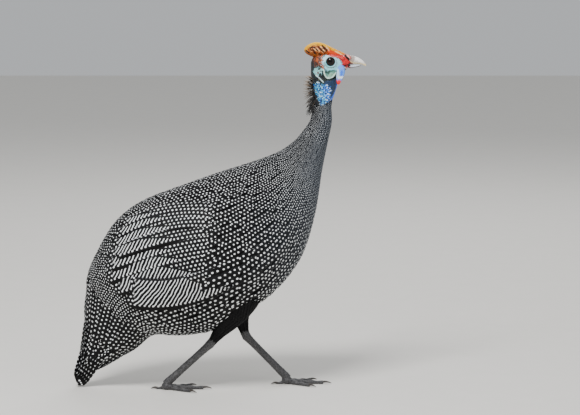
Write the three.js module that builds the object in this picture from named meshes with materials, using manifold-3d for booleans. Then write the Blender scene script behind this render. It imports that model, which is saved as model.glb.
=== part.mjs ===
// A helmeted guinea fowl, life size, walking with its neck raised and its tail drooped.
// Millimetres, +Z up. It faces +X, its left side is +Y, and it stands on z = 0.
import * as THREE from "three";
import { mergeVertices } from "three/addons/utils/BufferGeometryUtils.js";
import Module from "manifold-3d";

const wasm = await Module();
wasm.setup();

// Driving dimensions
const GAP = 0.3; // clearance between neighbouring pieces
const HEAD_SIDES = 14;
const BODY_SIDES = 24; // facets round the body
const STEPS_PER_STATION = 2;
const BELLY_FULLNESS = 0.1; // the body is widest a little below its middle
const TARSUS_LENGTH = 72;
const TOE_JOINT_HEIGHT = 8;
const EYE_RADIUS = 6.2;
const COLOURS = {
  plumage: 0x24252c,
  skin: 0x9fd3e6,
  casque: 0xe59a1c,
  cere: 0xd9281e,
  horn: 0xb9a893,
  eye: 0x1a0f0b,
  leg: 0x4a4a50,
};

// The body's sections from the tail tip to the crown. Each runs from its back point
// to its belly point in the plane of symmetry, and is half wide to either side.
const STATIONS = [
  { back: [-175.5, 12], belly: [-170, -3], half: 4 },
  { back: [-169, 38], belly: [-147, 21], half: 10 },
  { back: [-161, 73], belly: [-122, 39], half: 19 },
  { back: [-159, 108], belly: [-100, 53], half: 29 },
  { back: [-160, 136], belly: [-78, 65], half: 41 },
  { back: [-147, 167], belly: [-56, 64], half: 51 },
  { back: [-125, 203], belly: [-32, 65], half: 60 },
  { back: [-94, 227], belly: [-5, 71], half: 66 },
  { back: [-45, 246], belly: [32, 93], half: 69 },
  { back: [0, 262], belly: [65, 116], half: 67 },
  { back: [41, 275], belly: [98, 158], half: 58 },
  { back: [72, 287], belly: [115, 212], half: 43 },
  { back: [89, 299], belly: [123, 264], half: 28 },
  { back: [99, 310], belly: [130, 299], half: 19 },
  { back: [108, 323], belly: [134.5, 323], half: 14 },
  { back: [111.5, 338], belly: [134, 341], half: 11.8 },
  { back: [111.5, 354], belly: [137, 354], half: 11.3 },
  { back: [111, 368], belly: [141, 366], half: 11.8 },
  { back: [113, 384], belly: [143, 378], half: 12 },
];
const TAIL_CUT = 3.75; // where along the stations the tail parts from the torso
const TAIL_CORE_START = 1.5; // the core stops short, and feathers carry on
const NECK_CUT = 12.4;
const HEAD_CUT = 17.1;

// The head's sections, from the back of the skull to the root of the bill
const HEAD_SECTIONS = [
  { x: 109.5, top: 394, bottom: 378, half: 3 },
  { x: 112, top: 400, bottom: 370, half: 7.5 },
  { x: 118, top: 404.5, bottom: 364, half: 11.5 },
  { x: 126, top: 406, bottom: 364, half: 13 },
  { x: 134, top: 406, bottom: 366, half: 12.8 },
  { x: 141, top: 405, bottom: 373, half: 11.2 },
  { x: 147, top: 404, bottom: 381, half: 9 },
  { x: 152, top: 403, bottom: 385.5, half: 7.2 },
  { x: 156, top: 401.5, bottom: 387.5, half: 6 },
];
const CASQUE_SECTIONS = [
  { x: 101.5, top: 410, bottom: 407, half: 1.2 },
  { x: 104, top: 413.6, bottom: 403.4, half: 4 },
  { x: 110, top: 417, bottom: 400.5, half: 6.6 },
  { x: 116, top: 418.4, bottom: 399, half: 7.6 },
  { x: 124, top: 417, bottom: 399, half: 7.8 },
  { x: 132, top: 413, bottom: 399, half: 7 },
  { x: 140, top: 409, bottom: 399, half: 5.6 },
  { x: 148, top: 405.5, bottom: 399, half: 4 },
];
const UPPER_BILL = [
  { x: 153, top: 402.4, bottom: 391.4, half: 6 },
  { x: 158, top: 402, bottom: 391.6, half: 5.6 },
  { x: 164, top: 400.4, bottom: 392.2, half: 4.7 },
  { x: 169.5, top: 397.4, bottom: 391.8, half: 3.3 },
  { x: 173.4, top: 394, bottom: 389.6, half: 1.9 },
  { x: 175.8, top: 390.6, bottom: 388.4, half: 0.6 },
];
const LOWER_BILL = [
  { x: 153, top: 391, bottom: 386.2, half: 5.2 },
  { x: 159, top: 391.2, bottom: 386.8, half: 4.6 },
  { x: 165, top: 391.8, bottom: 388.2, half: 3.5 },
  { x: 169.5, top: 391.3, bottom: 389.4, half: 1.8 },
];
const EYE = { x: 132.8, y: 8.6, z: 395.6 };
const EAR = { x: 119, y: 11.6, z: 388 };
const LID_RADIUS = 6.1;
const NOSTRIL = { x: 152.6, z: 399 };
// Knobs of bare skin over the bill's root, as place and radii
const CERE_BULBS = [
  [152.4, 4.4, 399, 5, 2.8, 3.6],
  [145.4, 6.2, 398.6, 4.8, 2.6, 3.6],
  [147.6, 6.8, 393.2, 4.2, 2.2, 2.4],
];

// The legs: the near right one trails and the far left one leads.
const LEGS = {
  right: { side: -1, y: -17, ankle: [-10.5, 56.4], knee: [27, 109], hip: [27, 138], stride: -1 },
  left: { side: 1, y: 18, ankle: [30.6, 59.6], knee: [16, 114], hip: [10, 138], stride: 1 },
};
const TOES = [
  { name: "inner", angle: 34, length: 33, radius: 3 },
  { name: "middle", angle: 2, length: 44, radius: 3.3 },
  { name: "outer", angle: -32, length: 34, radius: 3 },
];
const HIND_TOE = { angle: 168, length: 13, radius: 2.2 };

const vec = (x, y, z) => new THREE.Vector3(x, y, z);
const mix = THREE.MathUtils.lerp;
const radians = THREE.MathUtils.degToRad;

// A closed geometry from points and triangles
function closedGeometry(points, faces) {
  const geometry = new THREE.BufferGeometry().setFromPoints(points);
  geometry.setIndex(faces.flat());
  return geometry;
}

// Joins rings of equal size into a closed body with a fan over each end.
function ringsGeometry(rings) {
  const count = rings[0].length;
  const points = rings.flat();
  const faces = [];
  for (let i = 0; i + 1 < rings.length; i++) {
    for (let j = 0; j < count; j++) {
      const k = (j + 1) % count;
      const [a, b] = [i * count + j, i * count + k];
      faces.push([a, b, b + count], [a, b + count, a + count]);
    }
  }
  for (const end of [0, rings.length - 1]) {
    const centre = new THREE.Vector3();
    rings[end].forEach((p) => centre.addScaledVector(p, 1 / count));
    const hub = points.push(centre) - 1;
    for (let j = 0; j < count; j++) {
      const [a, b] = [end * count + j, end * count + ((j + 1) % count)];
      faces.push(end === 0 ? [hub, b, a] : [hub, a, b]);
    }
  }
  return closedGeometry(points, faces);
}

// Turns a closed geometry into a solid with its faces pointing out.
function solidOf(geometry) {
  const plain = geometry.clone();
  plain.deleteAttribute("normal");
  plain.deleteAttribute("uv");
  const merged = mergeVertices(plain, 1e-4);
  const position = merged.attributes.position;
  const corners = [vec(), vec(), vec()];
  let volume = 0;
  const triVerts = new Uint32Array(merged.index.array);
  for (let i = 0; i < triVerts.length; i += 3) {
    corners.forEach((c, n) => c.fromBufferAttribute(position, triVerts[i + n]));
    volume += corners[0].dot(corners[1].clone().cross(corners[2]));
  }
  if (volume < 0) triVerts.reverse();
  return new wasm.Manifold(
    new wasm.Mesh({ numProp: 3, vertProperties: position.array, triVerts }),
  );
}

const joined = (solids) => solids.reduce((all, next) => all.add(next));

// Keeps only the largest closed surface of a solid.
function largest(solid) {
  const pieces = solid.decompose();
  return pieces.sort((a, b) => b.volume() - a.volume())[0];
}

// A named mesh from a solid
function meshOf(name, solid, colour, roughness = 0.7) {
  const made = largest(solid).getMesh();
  const count = made.numVert;
  const values = new Float32Array(count * 3);
  for (let i = 0; i < count; i++) {
    values.set(made.vertProperties.subarray(i * made.numProp, i * made.numProp + 3), i * 3);
  }
  const geometry = new THREE.BufferGeometry();
  geometry.setAttribute("position", new THREE.BufferAttribute(values, 3));
  geometry.setIndex(new THREE.BufferAttribute(made.triVerts, 1));
  const flat = geometry.toNonIndexed();
  flat.computeVertexNormals();
  const material = new THREE.MeshStandardMaterial({ color: colour, roughness, metalness: 0 });
  const mesh = new THREE.Mesh(flat, material);
  mesh.name = name;
  return mesh;
}

// The body's surface as a smooth function of the station and the angle from the back
const curveOf = (points) => new THREE.CatmullRomCurve3(points, false, "centripetal");
const backCurve = curveOf(STATIONS.map((s) => vec(s.back[0], 0, s.back[1])));
const bellyCurve = curveOf(STATIONS.map((s) => vec(s.belly[0], 0, s.belly[1])));
const halfCurve = curveOf(STATIONS.map((s, i) => vec(i * 12, s.half, 0)));

function sectionAt(station) {
  const t = THREE.MathUtils.clamp(station / (STATIONS.length - 1), 0, 1);
  const back = backCurve.getPoint(t);
  const belly = bellyCurve.getPoint(t);
  return { back, belly, half: halfCurve.getPoint(t).y };
}

function bodySurface(station, angle) {
  const { back, belly, half } = sectionAt(station);
  const fullness = 1 - BELLY_FULLNESS * Math.cos(angle);
  return back
    .clone()
    .lerp(belly, (1 - Math.cos(angle)) / 2)
    .setY(half * Math.sin(angle) * fullness);
}

function bodyNormal(station, angle) {
  const step = 0.02;
  const along = bodySurface(station + step, angle).sub(bodySurface(station - step, angle));
  const round = bodySurface(station, angle + step).sub(bodySurface(station, angle - step));
  return along.cross(round).normalize();
}

const bodyPoint = (station, angle, lift) =>
  bodySurface(station, angle).addScaledVector(bodyNormal(station, angle), lift);

// The place on the flank at a point of the side view, as a station and an angle
function flankAt(x, z) {
  let [low, high] = [0, STATIONS.length - 1];
  for (let i = 0; i < 24; i++) {
    const middle = (low + high) / 2;
    const { back, belly } = sectionAt(middle);
    const ahead = (belly.z - back.z) * (x - back.x) - (belly.x - back.x) * (z - back.z);
    if (ahead < 0) low = middle;
    else high = middle;
  }
  const { back, belly } = sectionAt(low);
  const share = ((x - back.x) * (belly.x - back.x) + (z - back.z) * (belly.z - back.z)) /
    belly.distanceToSquared(back);
  return [low, Math.acos(THREE.MathUtils.clamp(1 - 2 * share, -0.995, 0.995))];
}

// The body between two stations, grown by an offset
function bodyLoft(from, to, grow = 0) {
  const count = Math.round((to - from) * STEPS_PER_STATION);
  const rings = [];
  for (let i = 0; i <= count; i++) {
    const station = mix(from, to, i / count);
    const ring = [];
    for (let j = 0; j < BODY_SIDES; j++) {
      ring.push(bodyPoint(station, (j / BODY_SIDES) * 2 * Math.PI, grow));
    }
    rings.push(ring);
  }
  return solidOf(ringsGeometry(rings));
}

// A thin feather whose top and bottom are split alike. Its route is a list of
// { point, across, up, half }, with lifts of its two edges and its underside.
function featherOf(route, thickness, side) {
  const points = [];
  const faces = [];
  for (const { point, across, up, half, lifts } of route) {
    const sides = [-1, 1].map((side, n) =>
      point.clone().addScaledVector(across, side * half).addScaledVector(up, lifts[n]),
    );
    points.push(...sides, ...sides.map((p) => p.clone().addScaledVector(up, -thickness)));
  }
  for (let i = 0; i + 1 < route.length; i++) {
    const a = i * 4;
    const b = a + 4;
    faces.push([a, a + 1, b + 1], [a, b + 1, b]);
    faces.push([a + 2, b + 3, a + 3], [a + 2, b + 2, b + 3]);
    faces.push([a, b + 2, a + 2], [a, b, b + 2]);
    faces.push([a + 1, a + 3, b + 3], [a + 1, b + 3, b + 1]);
  }
  const last = (route.length - 1) * 4;
  faces.push([0, 2, 3], [0, 3, 1]);
  faces.push([last, last + 1, last + 3], [last, last + 3, last + 2]);
  if (side > 0) points.forEach((p) => p.setY(-p.y));
  return solidOf(closedGeometry(points, faces));
}

// Half widths along a feather from its root to its rounded tip, as shares of the widest
const LONG_FEATHER = [
  [0, 0.6],
  [0.24, 0.85],
  [0.46, 1],
  [0.66, 1],
  [0.82, 0.95],
  [0.94, 0.7],
  [1, 0.25],
];
const SHORT_FEATHER = [
  [0, 0.6],
  [0.35, 0.92],
  [0.68, 1],
  [0.9, 0.8],
  [1, 0.25],
];

// A straight way over the body from one place to another, as [station, angle, lift]
const wayOver = (root, tip) => (share) => ({
  station: mix(root[0], tip[0], share),
  angle: mix(root[1], tip[1], share),
  lift: mix(root[2], tip[2], Math.min(1, share * 1.6)),
});

// A way over the flank between points of the side view, bowed upwards
const wayAcross = (root, tip, lifts, bow) => (share) => {
  const z = mix(root.z, tip.z, share) + 4 * bow * share * (1 - share);
  const [station, angle] = flankAt(mix(root.x, tip.x, share), z);
  return { station, angle, lift: mix(...lifts, Math.min(1, share * 2)) };
};

// Lays a feather along a way over the right side, or its mirror image over the left.
function laidFeather({ place, outline = SHORT_FEATHER, half, tilt, thickness, side }) {
  const pointAt = ({ station, angle, lift }) => bodyPoint(station, -angle, lift);
  const route = outline.map(([share, width]) => {
    const here = place(share);
    const along = pointAt(place(Math.min(1, share + 0.05)));
    along.sub(pointAt(place(Math.max(0, share - 0.05))));
    const up = bodyNormal(here.station, -here.angle);
    const across = along.cross(up).normalize();
    return { point: pointAt(here), across, up, half: half * width, lifts: [-tilt, tilt] };
  });
  return featherOf(route, thickness, side);
}

// A tapered lock that bends, with three sides
function lock(root, direction, droop, length, radius) {
  const rings = [];
  const bend = direction.clone().add(droop);
  for (const share of [0, 0.55, 1]) {
    const point = root
      .clone()
      .addScaledVector(direction, length * share)
      .addScaledVector(bend.clone().sub(direction), length * share * share);
    const size = radius * (1 - 0.88 * share);
    const ring = [];
    for (let j = 0; j < 3; j++) {
      const angle = (j / 3) * 2 * Math.PI;
      const across = vec(-direction.z, 0, direction.x).normalize();
      ring.push(
        point
          .clone()
          .addScaledVector(across, size * Math.cos(angle))
          .add(vec(0, size * 0.6 * Math.sin(angle), 0)),
      );
    }
    rings.push(ring);
  }
  return solidOf(ringsGeometry(rings));
}

// A round limb through points, with its own radius along and across at each
function limb(stops, sides = 8) {
  const rings = stops.map(({ at, deep, wide }, i) => {
    const before = stops[Math.max(0, i - 1)].at;
    const after = stops[Math.min(stops.length - 1, i + 1)].at;
    const along = after.clone().sub(before).normalize();
    const across = Math.abs(along.y) > 0.8 ? vec(1, 0, 0) : vec(0, 1, 0);
    across.addScaledVector(along, -across.dot(along)).normalize();
    const depth = along.clone().cross(across);
    const ring = [];
    for (let j = 0; j < sides; j++) {
      const angle = ((j + 0.5) / sides) * 2 * Math.PI;
      ring.push(
        at
          .clone()
          .addScaledVector(across, wide * Math.cos(angle))
          .addScaledVector(depth, deep * Math.sin(angle)),
      );
    }
    return ring;
  });
  return solidOf(ringsGeometry(rings));
}

// A body of upright sections along X; ridge narrows its top.
function headLoft(sections, sides, ridge = 0) {
  const rings = sections.map(({ x, top, bottom, half }) => {
    const ring = [];
    for (let j = 0; j < sides; j++) {
      const angle = (j / sides) * 2 * Math.PI;
      const height = Math.cos(angle);
      const narrow = 1 - ridge * Math.max(0, height);
      ring.push(vec(x, half * Math.sin(angle) * narrow, mix(bottom, top, (1 + height) / 2)));
    }
    return ring;
  });
  return solidOf(ringsGeometry(rings));
}

function ball(x, y, z, rx, ry = rx, rz = rx, wide = 12, high = 8) {
  const sphere = new THREE.SphereGeometry(1, wide, high);
  sphere.scale(rx, ry, rz);
  sphere.translate(x, y, z);
  return solidOf(sphere);
}

// A raised ring round an axis along Y
function yRing(x, y, z, radius, thick, deep, segments = 12) {
  const profile = [];
  const corners = 4;
  for (let i = 0; i <= corners; i++) {
    const angle = (i / corners) * 2 * Math.PI;
    profile.push(
      new THREE.Vector2(radius + thick * Math.cos(angle), deep * Math.sin(angle)),
    );
  }
  profile[corners] = profile[0].clone();
  const ring = new THREE.LatheGeometry(profile, segments);
  ring.translate(x, y, z);
  return solidOf(ring);
}

// Parts a solid across the body at a station, keeping the side ahead of the cut or behind it.
function partAt(solid, station, ahead) {
  const { back, belly } = sectionAt(station);
  const line = belly.clone().sub(back).normalize();
  const normal = vec(-line.z, 0, line.x);
  const offset = normal.dot(back);
  const margin = GAP / 2;
  return ahead
    ? solid.trimByPlane(normal.toArray(), offset + margin)
    : solid.trimByPlane(normal.clone().negate().toArray(), -offset + margin);
}

const object = new THREE.Group();
const add = (mesh) => object.add(mesh);

// Torso, and the same body grown by the gap to cut its neighbours with
const whole = bodyLoft(TAIL_CORE_START, STATIONS.length - 1);
const grownBody = bodyLoft(3, 15, GAP);
const torso = partAt(partAt(whole, TAIL_CUT, true), NECK_CUT, false);
add(meshOf("torso", torso, COLOURS.plumage));

// Tail: a short core with two tiers of coverts over graduated tail feathers
const TAIL_FEATHERS = {
  roots: [[3.3, 14], [3.25, 50], [3.2, 84], [3.1, 118], [3, 154]],
  tips: [[0, 24], [0, 92], [0, 156], [1.1, 146], [1.9, 166]],
  half: 8.5,
};
const TAIL_COVERTS = [
  { from: 3.62, to: 2.35, angles: [18, 54, 90, 126, 162], half: 12.5, lift: 2.3, thickness: 3 },
  { from: 3.45, to: 1.45, angles: [0, 36, 72, 108, 144], half: 10, lift: 1.2, thickness: 2.2 },
];

function tailSolid() {
  const pieces = [partAt(bodyLoft(TAIL_CORE_START, 5), TAIL_CUT, false)];
  for (const side of [-1, 1]) {
    TAIL_FEATHERS.roots.forEach(([from, start], i) => {
      const [to, end] = TAIL_FEATHERS.tips[i];
      const place = wayOver([from, radians(start), -3], [to, radians(end), 0.2]);
      pieces.push(laidFeather({ place, half: TAIL_FEATHERS.half, tilt: -0.5, thickness: 1, side }));
    });
    for (const { from, to, angles, half, lift, thickness } of TAIL_COVERTS) {
      for (const angle of angles) {
        if (angle === 0 && side > 0) continue;
        const drift = angle === 0 ? 0 : 6;
        const place = wayOver([from, radians(angle), -3], [to, radians(angle + drift), lift]);
        pieces.push(laidFeather({ place, half, tilt: -0.4, thickness, side }));
      }
    }
  }
  const grownTorso = partAt(grownBody, TAIL_CUT, true);
  return joined(pieces).subtract(grownTorso).trimByPlane([0, 0, 1], 0);
}
add(meshOf("tail", tailSolid(), COLOURS.plumage));

// Wings: a shoulder shield over each flank, under tiers of feathers. Roots and tips
// lie along curves of the side view, and each upper feather laps the one below.
const WING_EDGE = [
  { x: 86, top: 208, bottom: 188 },
  { x: 74, top: 228, bottom: 165 },
  { x: 52, top: 241, bottom: 150 },
  { x: 28, top: 241, bottom: 137 },
  { x: 4, top: 235, bottom: 128 },
  { x: -18, top: 228, bottom: 120 },
];
const WING_TIERS = [
  {
    count: 10,
    outline: LONG_FEATHER,
    roots: [[14, 229], [28, 190], [24, 140]],
    tips: [[-127, 160], [-137, 144], [-134, 128], [-118, 112], [-98, 105], [-76, 104]],
    half: 8.5,
    lifts: [3.6, 4.6],
    bow: 5,
  },
  {
    count: 7,
    roots: [[62, 232], [66, 190], [54, 154]],
    tips: [[-26, 222], [-8, 176], [-16, 126]],
    half: 11,
    lifts: [3.8, 5.2],
    bow: 3,
  },
  {
    count: 7,
    roots: [[82, 214], [86, 196], [76, 176]],
    tips: [[22, 234], [34, 188], [22, 140]],
    half: 10,
    lifts: [4.2, 6.2],
    bow: 2,
  },
];
const SHIELD_LIFT = 3.6;

function wingShield(side) {
  const [rows, columns] = [WING_EDGE.length - 1, 5];
  const points = [];
  const faces = [];
  for (const outer of [true, false]) {
    WING_EDGE.forEach(({ x, top, bottom }, i) => {
      for (let j = 0; j <= columns; j++) {
        const v = j / columns;
        const [station, angle] = flankAt(x, mix(top, bottom, v));
        const ends = i === 0 || i === rows ? 0.4 : 1;
        const rise = SHIELD_LIFT * (1 - Math.abs(2 * v - 1) ** 3) * ends;
        points.push(bodyPoint(station, angle * side, outer ? Math.max(0.9, rise) : -2));
      }
    });
  }
  const width = columns + 1;
  const half = (rows + 1) * width;
  for (let i = 0; i < rows; i++) {
    for (let j = 0; j < columns; j++) {
      const a = i * width + j;
      const [b, c, d] = [a + 1, a + width, a + width + 1];
      faces.push([a, b, d], [a, d, c], [a + half, d + half, b + half], [a + half, c + half, d + half]);
    }
  }
  const rim = [];
  for (let j = 0; j < columns; j++) rim.push(j);
  for (let i = 0; i < rows; i++) rim.push(i * width + columns);
  for (let j = columns; j > 0; j--) rim.push(rows * width + j);
  for (let i = rows; i > 0; i--) rim.push(i * width);
  rim.forEach((a, n) => {
    const b = rim[(n + 1) % rim.length];
    faces.push([a, a + half, b + half], [a, b + half, b]);
  });
  return solidOf(closedGeometry(points, faces));
}

function wingSolid(side) {
  const pieces = [wingShield(side)];
  for (const { count, outline, roots, tips, half, lifts, bow } of WING_TIERS) {
    const [rootLine, tipLine] = [roots, tips].map((line) =>
      curveOf(line.map(([x, z]) => vec(x, 0, z))),
    );
    for (let i = 0; i < count; i++) {
      const share = i / (count - 1);
      const place = wayAcross(rootLine.getPoint(share), tipLine.getPoint(share), lifts, bow);
      pieces.push(laidFeather({ place, outline, half, tilt: -0.7, thickness: lifts[1] + 1.6, side }));
    }
  }
  return joined(pieces).subtract(grownBody);
}
for (const [name, side] of [["right", -1], ["left", 1]]) {
  add(meshOf("wing_" + name, wingSolid(side), COLOURS.plumage));
}

// Head with lids, ear cups, nostrils and the knobbed cere; then the neck below it
const skull = headLoft(HEAD_SECTIONS, HEAD_SIDES);
const headMass = joined([skull, bodyLoft(15, STATIONS.length - 1)]);

function headSolid() {
  const added = [partAt(headMass, HEAD_CUT, true)];
  const removed = [];
  for (const side of [-1, 1]) {
    added.push(yRing(EYE.x, side * 11.8, EYE.z, LID_RADIUS, 1.1, 1.5));
    added.push(yRing(EAR.x, side * EAR.y, EAR.z, 3, 1, 1.3, 8));
    CERE_BULBS.forEach(([x, y, z, ...size]) => added.push(ball(x, side * y, z, ...size, 8, 5)));
    const socket = EYE_RADIUS + GAP;
    removed.push(ball(EYE.x, side * EYE.y, EYE.z, socket, socket, socket, 12, 8));
    removed.push(ball(EAR.x, side * 12.6, EAR.z, 2, 2.6, 2, 7, 5));
    removed.push(ball(NOSTRIL.x + 1, side * 7.4, NOSTRIL.z - 0.3, 2.6, 1.6, 0.9, 7, 5));
    removed.push(ball(149.5, side * 8.6, 390.6, 5, 2.4, 0.55, 8, 5));
  }
  return removed.reduce((solid, hole) => solid.subtract(hole), joined(added));
}
const head = largest(headSolid());
const upperBill = headLoft(UPPER_BILL, 12, 0.25);
const lowerBill = headLoft(LOWER_BILL, 10);
const grownBills = joined([
  headLoft(UPPER_BILL.map((s) => ({ ...s, top: s.top + GAP, bottom: s.bottom - GAP, half: s.half + GAP })), 12, 0.25),
  headLoft(LOWER_BILL.map((s) => ({ ...s, top: s.top + GAP, bottom: s.bottom - GAP, half: s.half + GAP })), 10),
]);
const billSocket = grownBills.trimByPlane([-1, 0, 0], -158);
const bareHead = largest(head.subtract(billSocket));
add(meshOf("head", bareHead, COLOURS.skin));
add(meshOf("bill_upper", upperBill.trimByPlane([1, 0, 0], 153 + GAP), COLOURS.horn, 0.4));
add(meshOf("bill_lower", lowerBill.trimByPlane([1, 0, 0], 153 + GAP), COLOURS.horn, 0.4));
for (const [name, side] of [["right", -1], ["left", 1]]) {
  const eye = ball(EYE.x, side * EYE.y, EYE.z, EYE_RADIUS, EYE_RADIUS, EYE_RADIUS, 12, 8);
  add(meshOf("eye_" + name, eye, COLOURS.eye, 0.1));
}

// Casque: the bony helmet, narrow along its top, seated on the crown
const casqueShape = headLoft(CASQUE_SECTIONS, 14, 0.5);
const grownSkull = headLoft(
  HEAD_SECTIONS.map((s) => ({ ...s, top: s.top + GAP, bottom: s.bottom - GAP, half: s.half + GAP })),
  HEAD_SIDES,
);
const grownTrim = [-1, 1].flatMap((side) => [
  yRing(EYE.x, side * 11.8, EYE.z, LID_RADIUS, 1.1 + GAP, 1.5 + GAP),
  ...CERE_BULBS.map(([x, y, z, ...size]) =>
    ball(x, side * y, z, ...size.map((radius) => radius + GAP * 1.3), 8, 5),
  ),
]);
const blocks = joined([grownSkull, ...grownTrim]);
add(meshOf("casque", casqueShape.subtract(blocks), COLOURS.casque, 0.5));

// Wattles: a flat lobe from each corner of the mouth
const WATTLE = [
  { z: 391, x: 145, long: 3.4, thick: 2.2, y: 8 },
  { z: 387, x: 145.5, long: 5, thick: 2, y: 10.4 },
  { z: 382, x: 145, long: 5.2, thick: 1.7, y: 12 },
  { z: 376, x: 143.5, long: 4.2, thick: 1.4, y: 12.6 },
  { z: 371, x: 142.5, long: 2.6, thick: 1.1, y: 12.4 },
  { z: 368, x: 142, long: 1, thick: 0.6, y: 12 },
];
for (const [name, side] of [["right", -1], ["left", 1]]) {
  const rings = WATTLE.map(({ z, x, long, thick, y }) => {
    const ring = [];
    for (let j = 0; j < 10; j++) {
      const angle = (j / 10) * 2 * Math.PI;
      ring.push(vec(x + long * Math.cos(angle), side * y + thick * Math.sin(angle), z));
    }
    return ring;
  });
  const lobe = solidOf(ringsGeometry(rings)).subtract(blocks).subtract(grownBills);
  const hung = lobe.subtract(bodyLoft(15, STATIONS.length - 1, GAP));
  add(meshOf("wattle_" + name, hung, COLOURS.skin));
}

// Neck with its mane of hair-like feathers standing from the nape
const MANE = { rows: 10, from: 14.1, to: 16.95, spread: 46 };
function neckSolid() {
  const pieces = [partAt(partAt(headMass, HEAD_CUT, false), 15.5, true)];
  pieces.push(partAt(bodyLoft(11, 17), NECK_CUT, true));
  const base = partAt(joined(pieces), HEAD_CUT, false);
  const locks = [];
  let seed = 7;
  const draw = () => {
    seed = (seed * 16807) % 2147483647;
    return seed / 2147483647;
  };
  for (let i = 0; i < MANE.rows; i++) {
    const share = i / (MANE.rows - 1);
    const station = mix(MANE.from, MANE.to, share);
    const places = i % 2 ? [-1, -0.33, 0.33, 1] : [-0.66, 0, 0.66];
    for (const place of places) {
      const angle = radians(MANE.spread * place);
      const root = bodyPoint(station, angle, -2.2);
      const rise = mix(0.35, 0.95, share) + 0.25 * (draw() - 0.5);
      const direction = vec(-1, 0.55 * Math.sin(angle), rise).normalize();
      const length = mix(7, 15, Math.sin(Math.PI * mix(0.15, 0.85, share))) * mix(0.8, 1.15, draw());
      locks.push(lock(root, direction, vec(-0.1, 0, -0.22), length + 2.2, 1.15));
    }
  }
  const cap = partAt(joined(locks), HEAD_CUT + 0.6, false);
  return joined([base, cap]).subtract(grownHead());
}

// The head above the neck cut, grown by the gap, for the mane to clear
function grownHead() {
  const grown = joined([grownSkull, bodyLoft(15, STATIONS.length - 1, GAP)]);
  return partAt(grown, HEAD_CUT, true);
}
add(meshOf("neck", neckSolid(), COLOURS.plumage));

// Legs: feathered thigh, scaled shank and a foot with claws
const polar = (angle, length) =>
  vec(Math.cos(radians(angle)) * length, Math.sin(radians(angle)) * length, 0);

function legPieces(name, { side, y, ankle, knee, hip, stride }) {
  const heel = vec(ankle[0], y, ankle[1]);
  const kneeAt = vec(knee[0], y * 1.5, knee[1]);
  const drop = ankle[1] - TOE_JOINT_HEIGHT;
  const run = Math.sqrt(TARSUS_LENGTH ** 2 - drop ** 2) * stride;
  const toeJoint = vec(heel.x + run, y, TOE_JOINT_HEIGHT);
  const up = kneeAt.clone().sub(heel).normalize();
  const down = toeJoint.clone().sub(heel).normalize();

  // The thigh stops above the heel, where the bare shank starts.
  const cuff = heel.clone().addScaledVector(up, 9);
  const thighLength = kneeAt.distanceTo(cuff);
  const thighStops = [
    [0, 5.2],
    [0.18, 7.6],
    [0.45, 12.5],
    [0.75, 17],
    [1, 18],
  ].map(([share, radius]) => ({
    at: cuff.clone().addScaledVector(up, thighLength * share),
    deep: radius,
    wide: radius * 0.85,
  }));
  thighStops.push({ at: vec(hip[0], y * 1.6, hip[1]), deep: 17, wide: 15 });
  const thigh = limb(thighStops, 12).subtract(grownBody);

  // The shank's front carries a stair of broad scutes.
  const shankStops = [
    { at: heel.clone().addScaledVector(up, 9 - GAP), deep: 4.6, wide: 4.2 },
    { at: heel.clone().addScaledVector(up, 4), deep: 5.6, wide: 5 },
    { at: heel.clone().addScaledVector(down, 2), deep: 6, wide: 5.3 },
  ];
  const scutes = 9;
  const shankEnd = TARSUS_LENGTH - 7;
  for (let i = 0; i < scutes; i++) {
    for (const [share, size] of [[0.04, 3.9], [0.96, 4.35]]) {
      const along = mix(8, shankEnd, (i + share) / scutes);
      const swell = 0.6 * Math.abs((2 * (i + share)) / scutes - 1) ** 3;
      const at = heel.clone().addScaledVector(down, along);
      shankStops.push({ at, deep: size + 0.6 + swell, wide: size - 0.3 + swell });
    }
  }
  const shank = limb(shankStops, 8);

  // The foot: the toe joint, three front toes, a short raised hind toe, and claws.
  const footPieces = [
    limb(
      [
        { at: heel.clone().addScaledVector(down, shankEnd + GAP), deep: 5, wide: 4.4 },
        { at: toeJoint.clone().addScaledVector(down, -3), deep: 5.2, wide: 5.2 },
        { at: toeJoint.clone().addScaledVector(down, 2), deep: 4.6, wide: 5 },
      ],
      8,
    ),
    ball(toeJoint.x, y, 4.6, 6.4, 6, 4.9, 10, 6),
  ];
  for (const { angle, length, radius } of [...TOES, HIND_TOE]) {
    const heading = polar(angle * -side, 1);
    const hind = angle === HIND_TOE.angle;
    const start = vec(toeJoint.x, y, hind ? 6.4 : 4.4);
    const joints = hind ? 2 : 3;
    const stops = [];
    for (let i = 0; i <= joints * 2; i++) {
      const share = i / (joints * 2);
      const bulge = i % 2 ? 0.86 : 1.06;
      const size = mix(radius, radius * 0.66, share) * bulge;
      const at = start.clone().addScaledVector(heading, length * share);
      at.z = mix(start.z, size * 0.86, Math.min(1, share * 2.2));
      stops.push({ at, deep: size, wide: size });
    }
    const tip = stops[stops.length - 1].at;
    const claw = radius * 2.6;
    const point = (ahead, rise, size) => ({
      at: tip.clone().addScaledVector(heading, ahead * claw).setZ(tip.z + rise),
      deep: size,
      wide: size * 0.8,
    });
    footPieces.push(limb(stops, 6));
    footPieces.push(
      limb([point(-0.2, 0.2, 1.5), point(0.4, 0.7, 1.3), point(0.85, 0.1, 0.8), point(1.2, -0.9, 0.3)], 5),
    );
  }
  const foot = joined(footPieces).trimByPlane([0, 0, 1], 0);
  add(meshOf("thigh_" + name, thigh, COLOURS.plumage));
  add(meshOf("shank_" + name, shank, COLOURS.leg));
  add(meshOf("foot_" + name, foot, COLOURS.leg));
}
for (const [name, leg] of Object.entries(LEGS)) legPieces(name, leg);

export default object;
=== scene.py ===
# A helmeted guinea fowl, life size, walking over a plain studio floor.
# Its shapes are given in millimetres and made in metres: +X is ahead, +Y its left, +Z up.
import math

import bpy
import numpy as np
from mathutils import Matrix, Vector, noise
from mathutils.bvhtree import BVHTree


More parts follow.
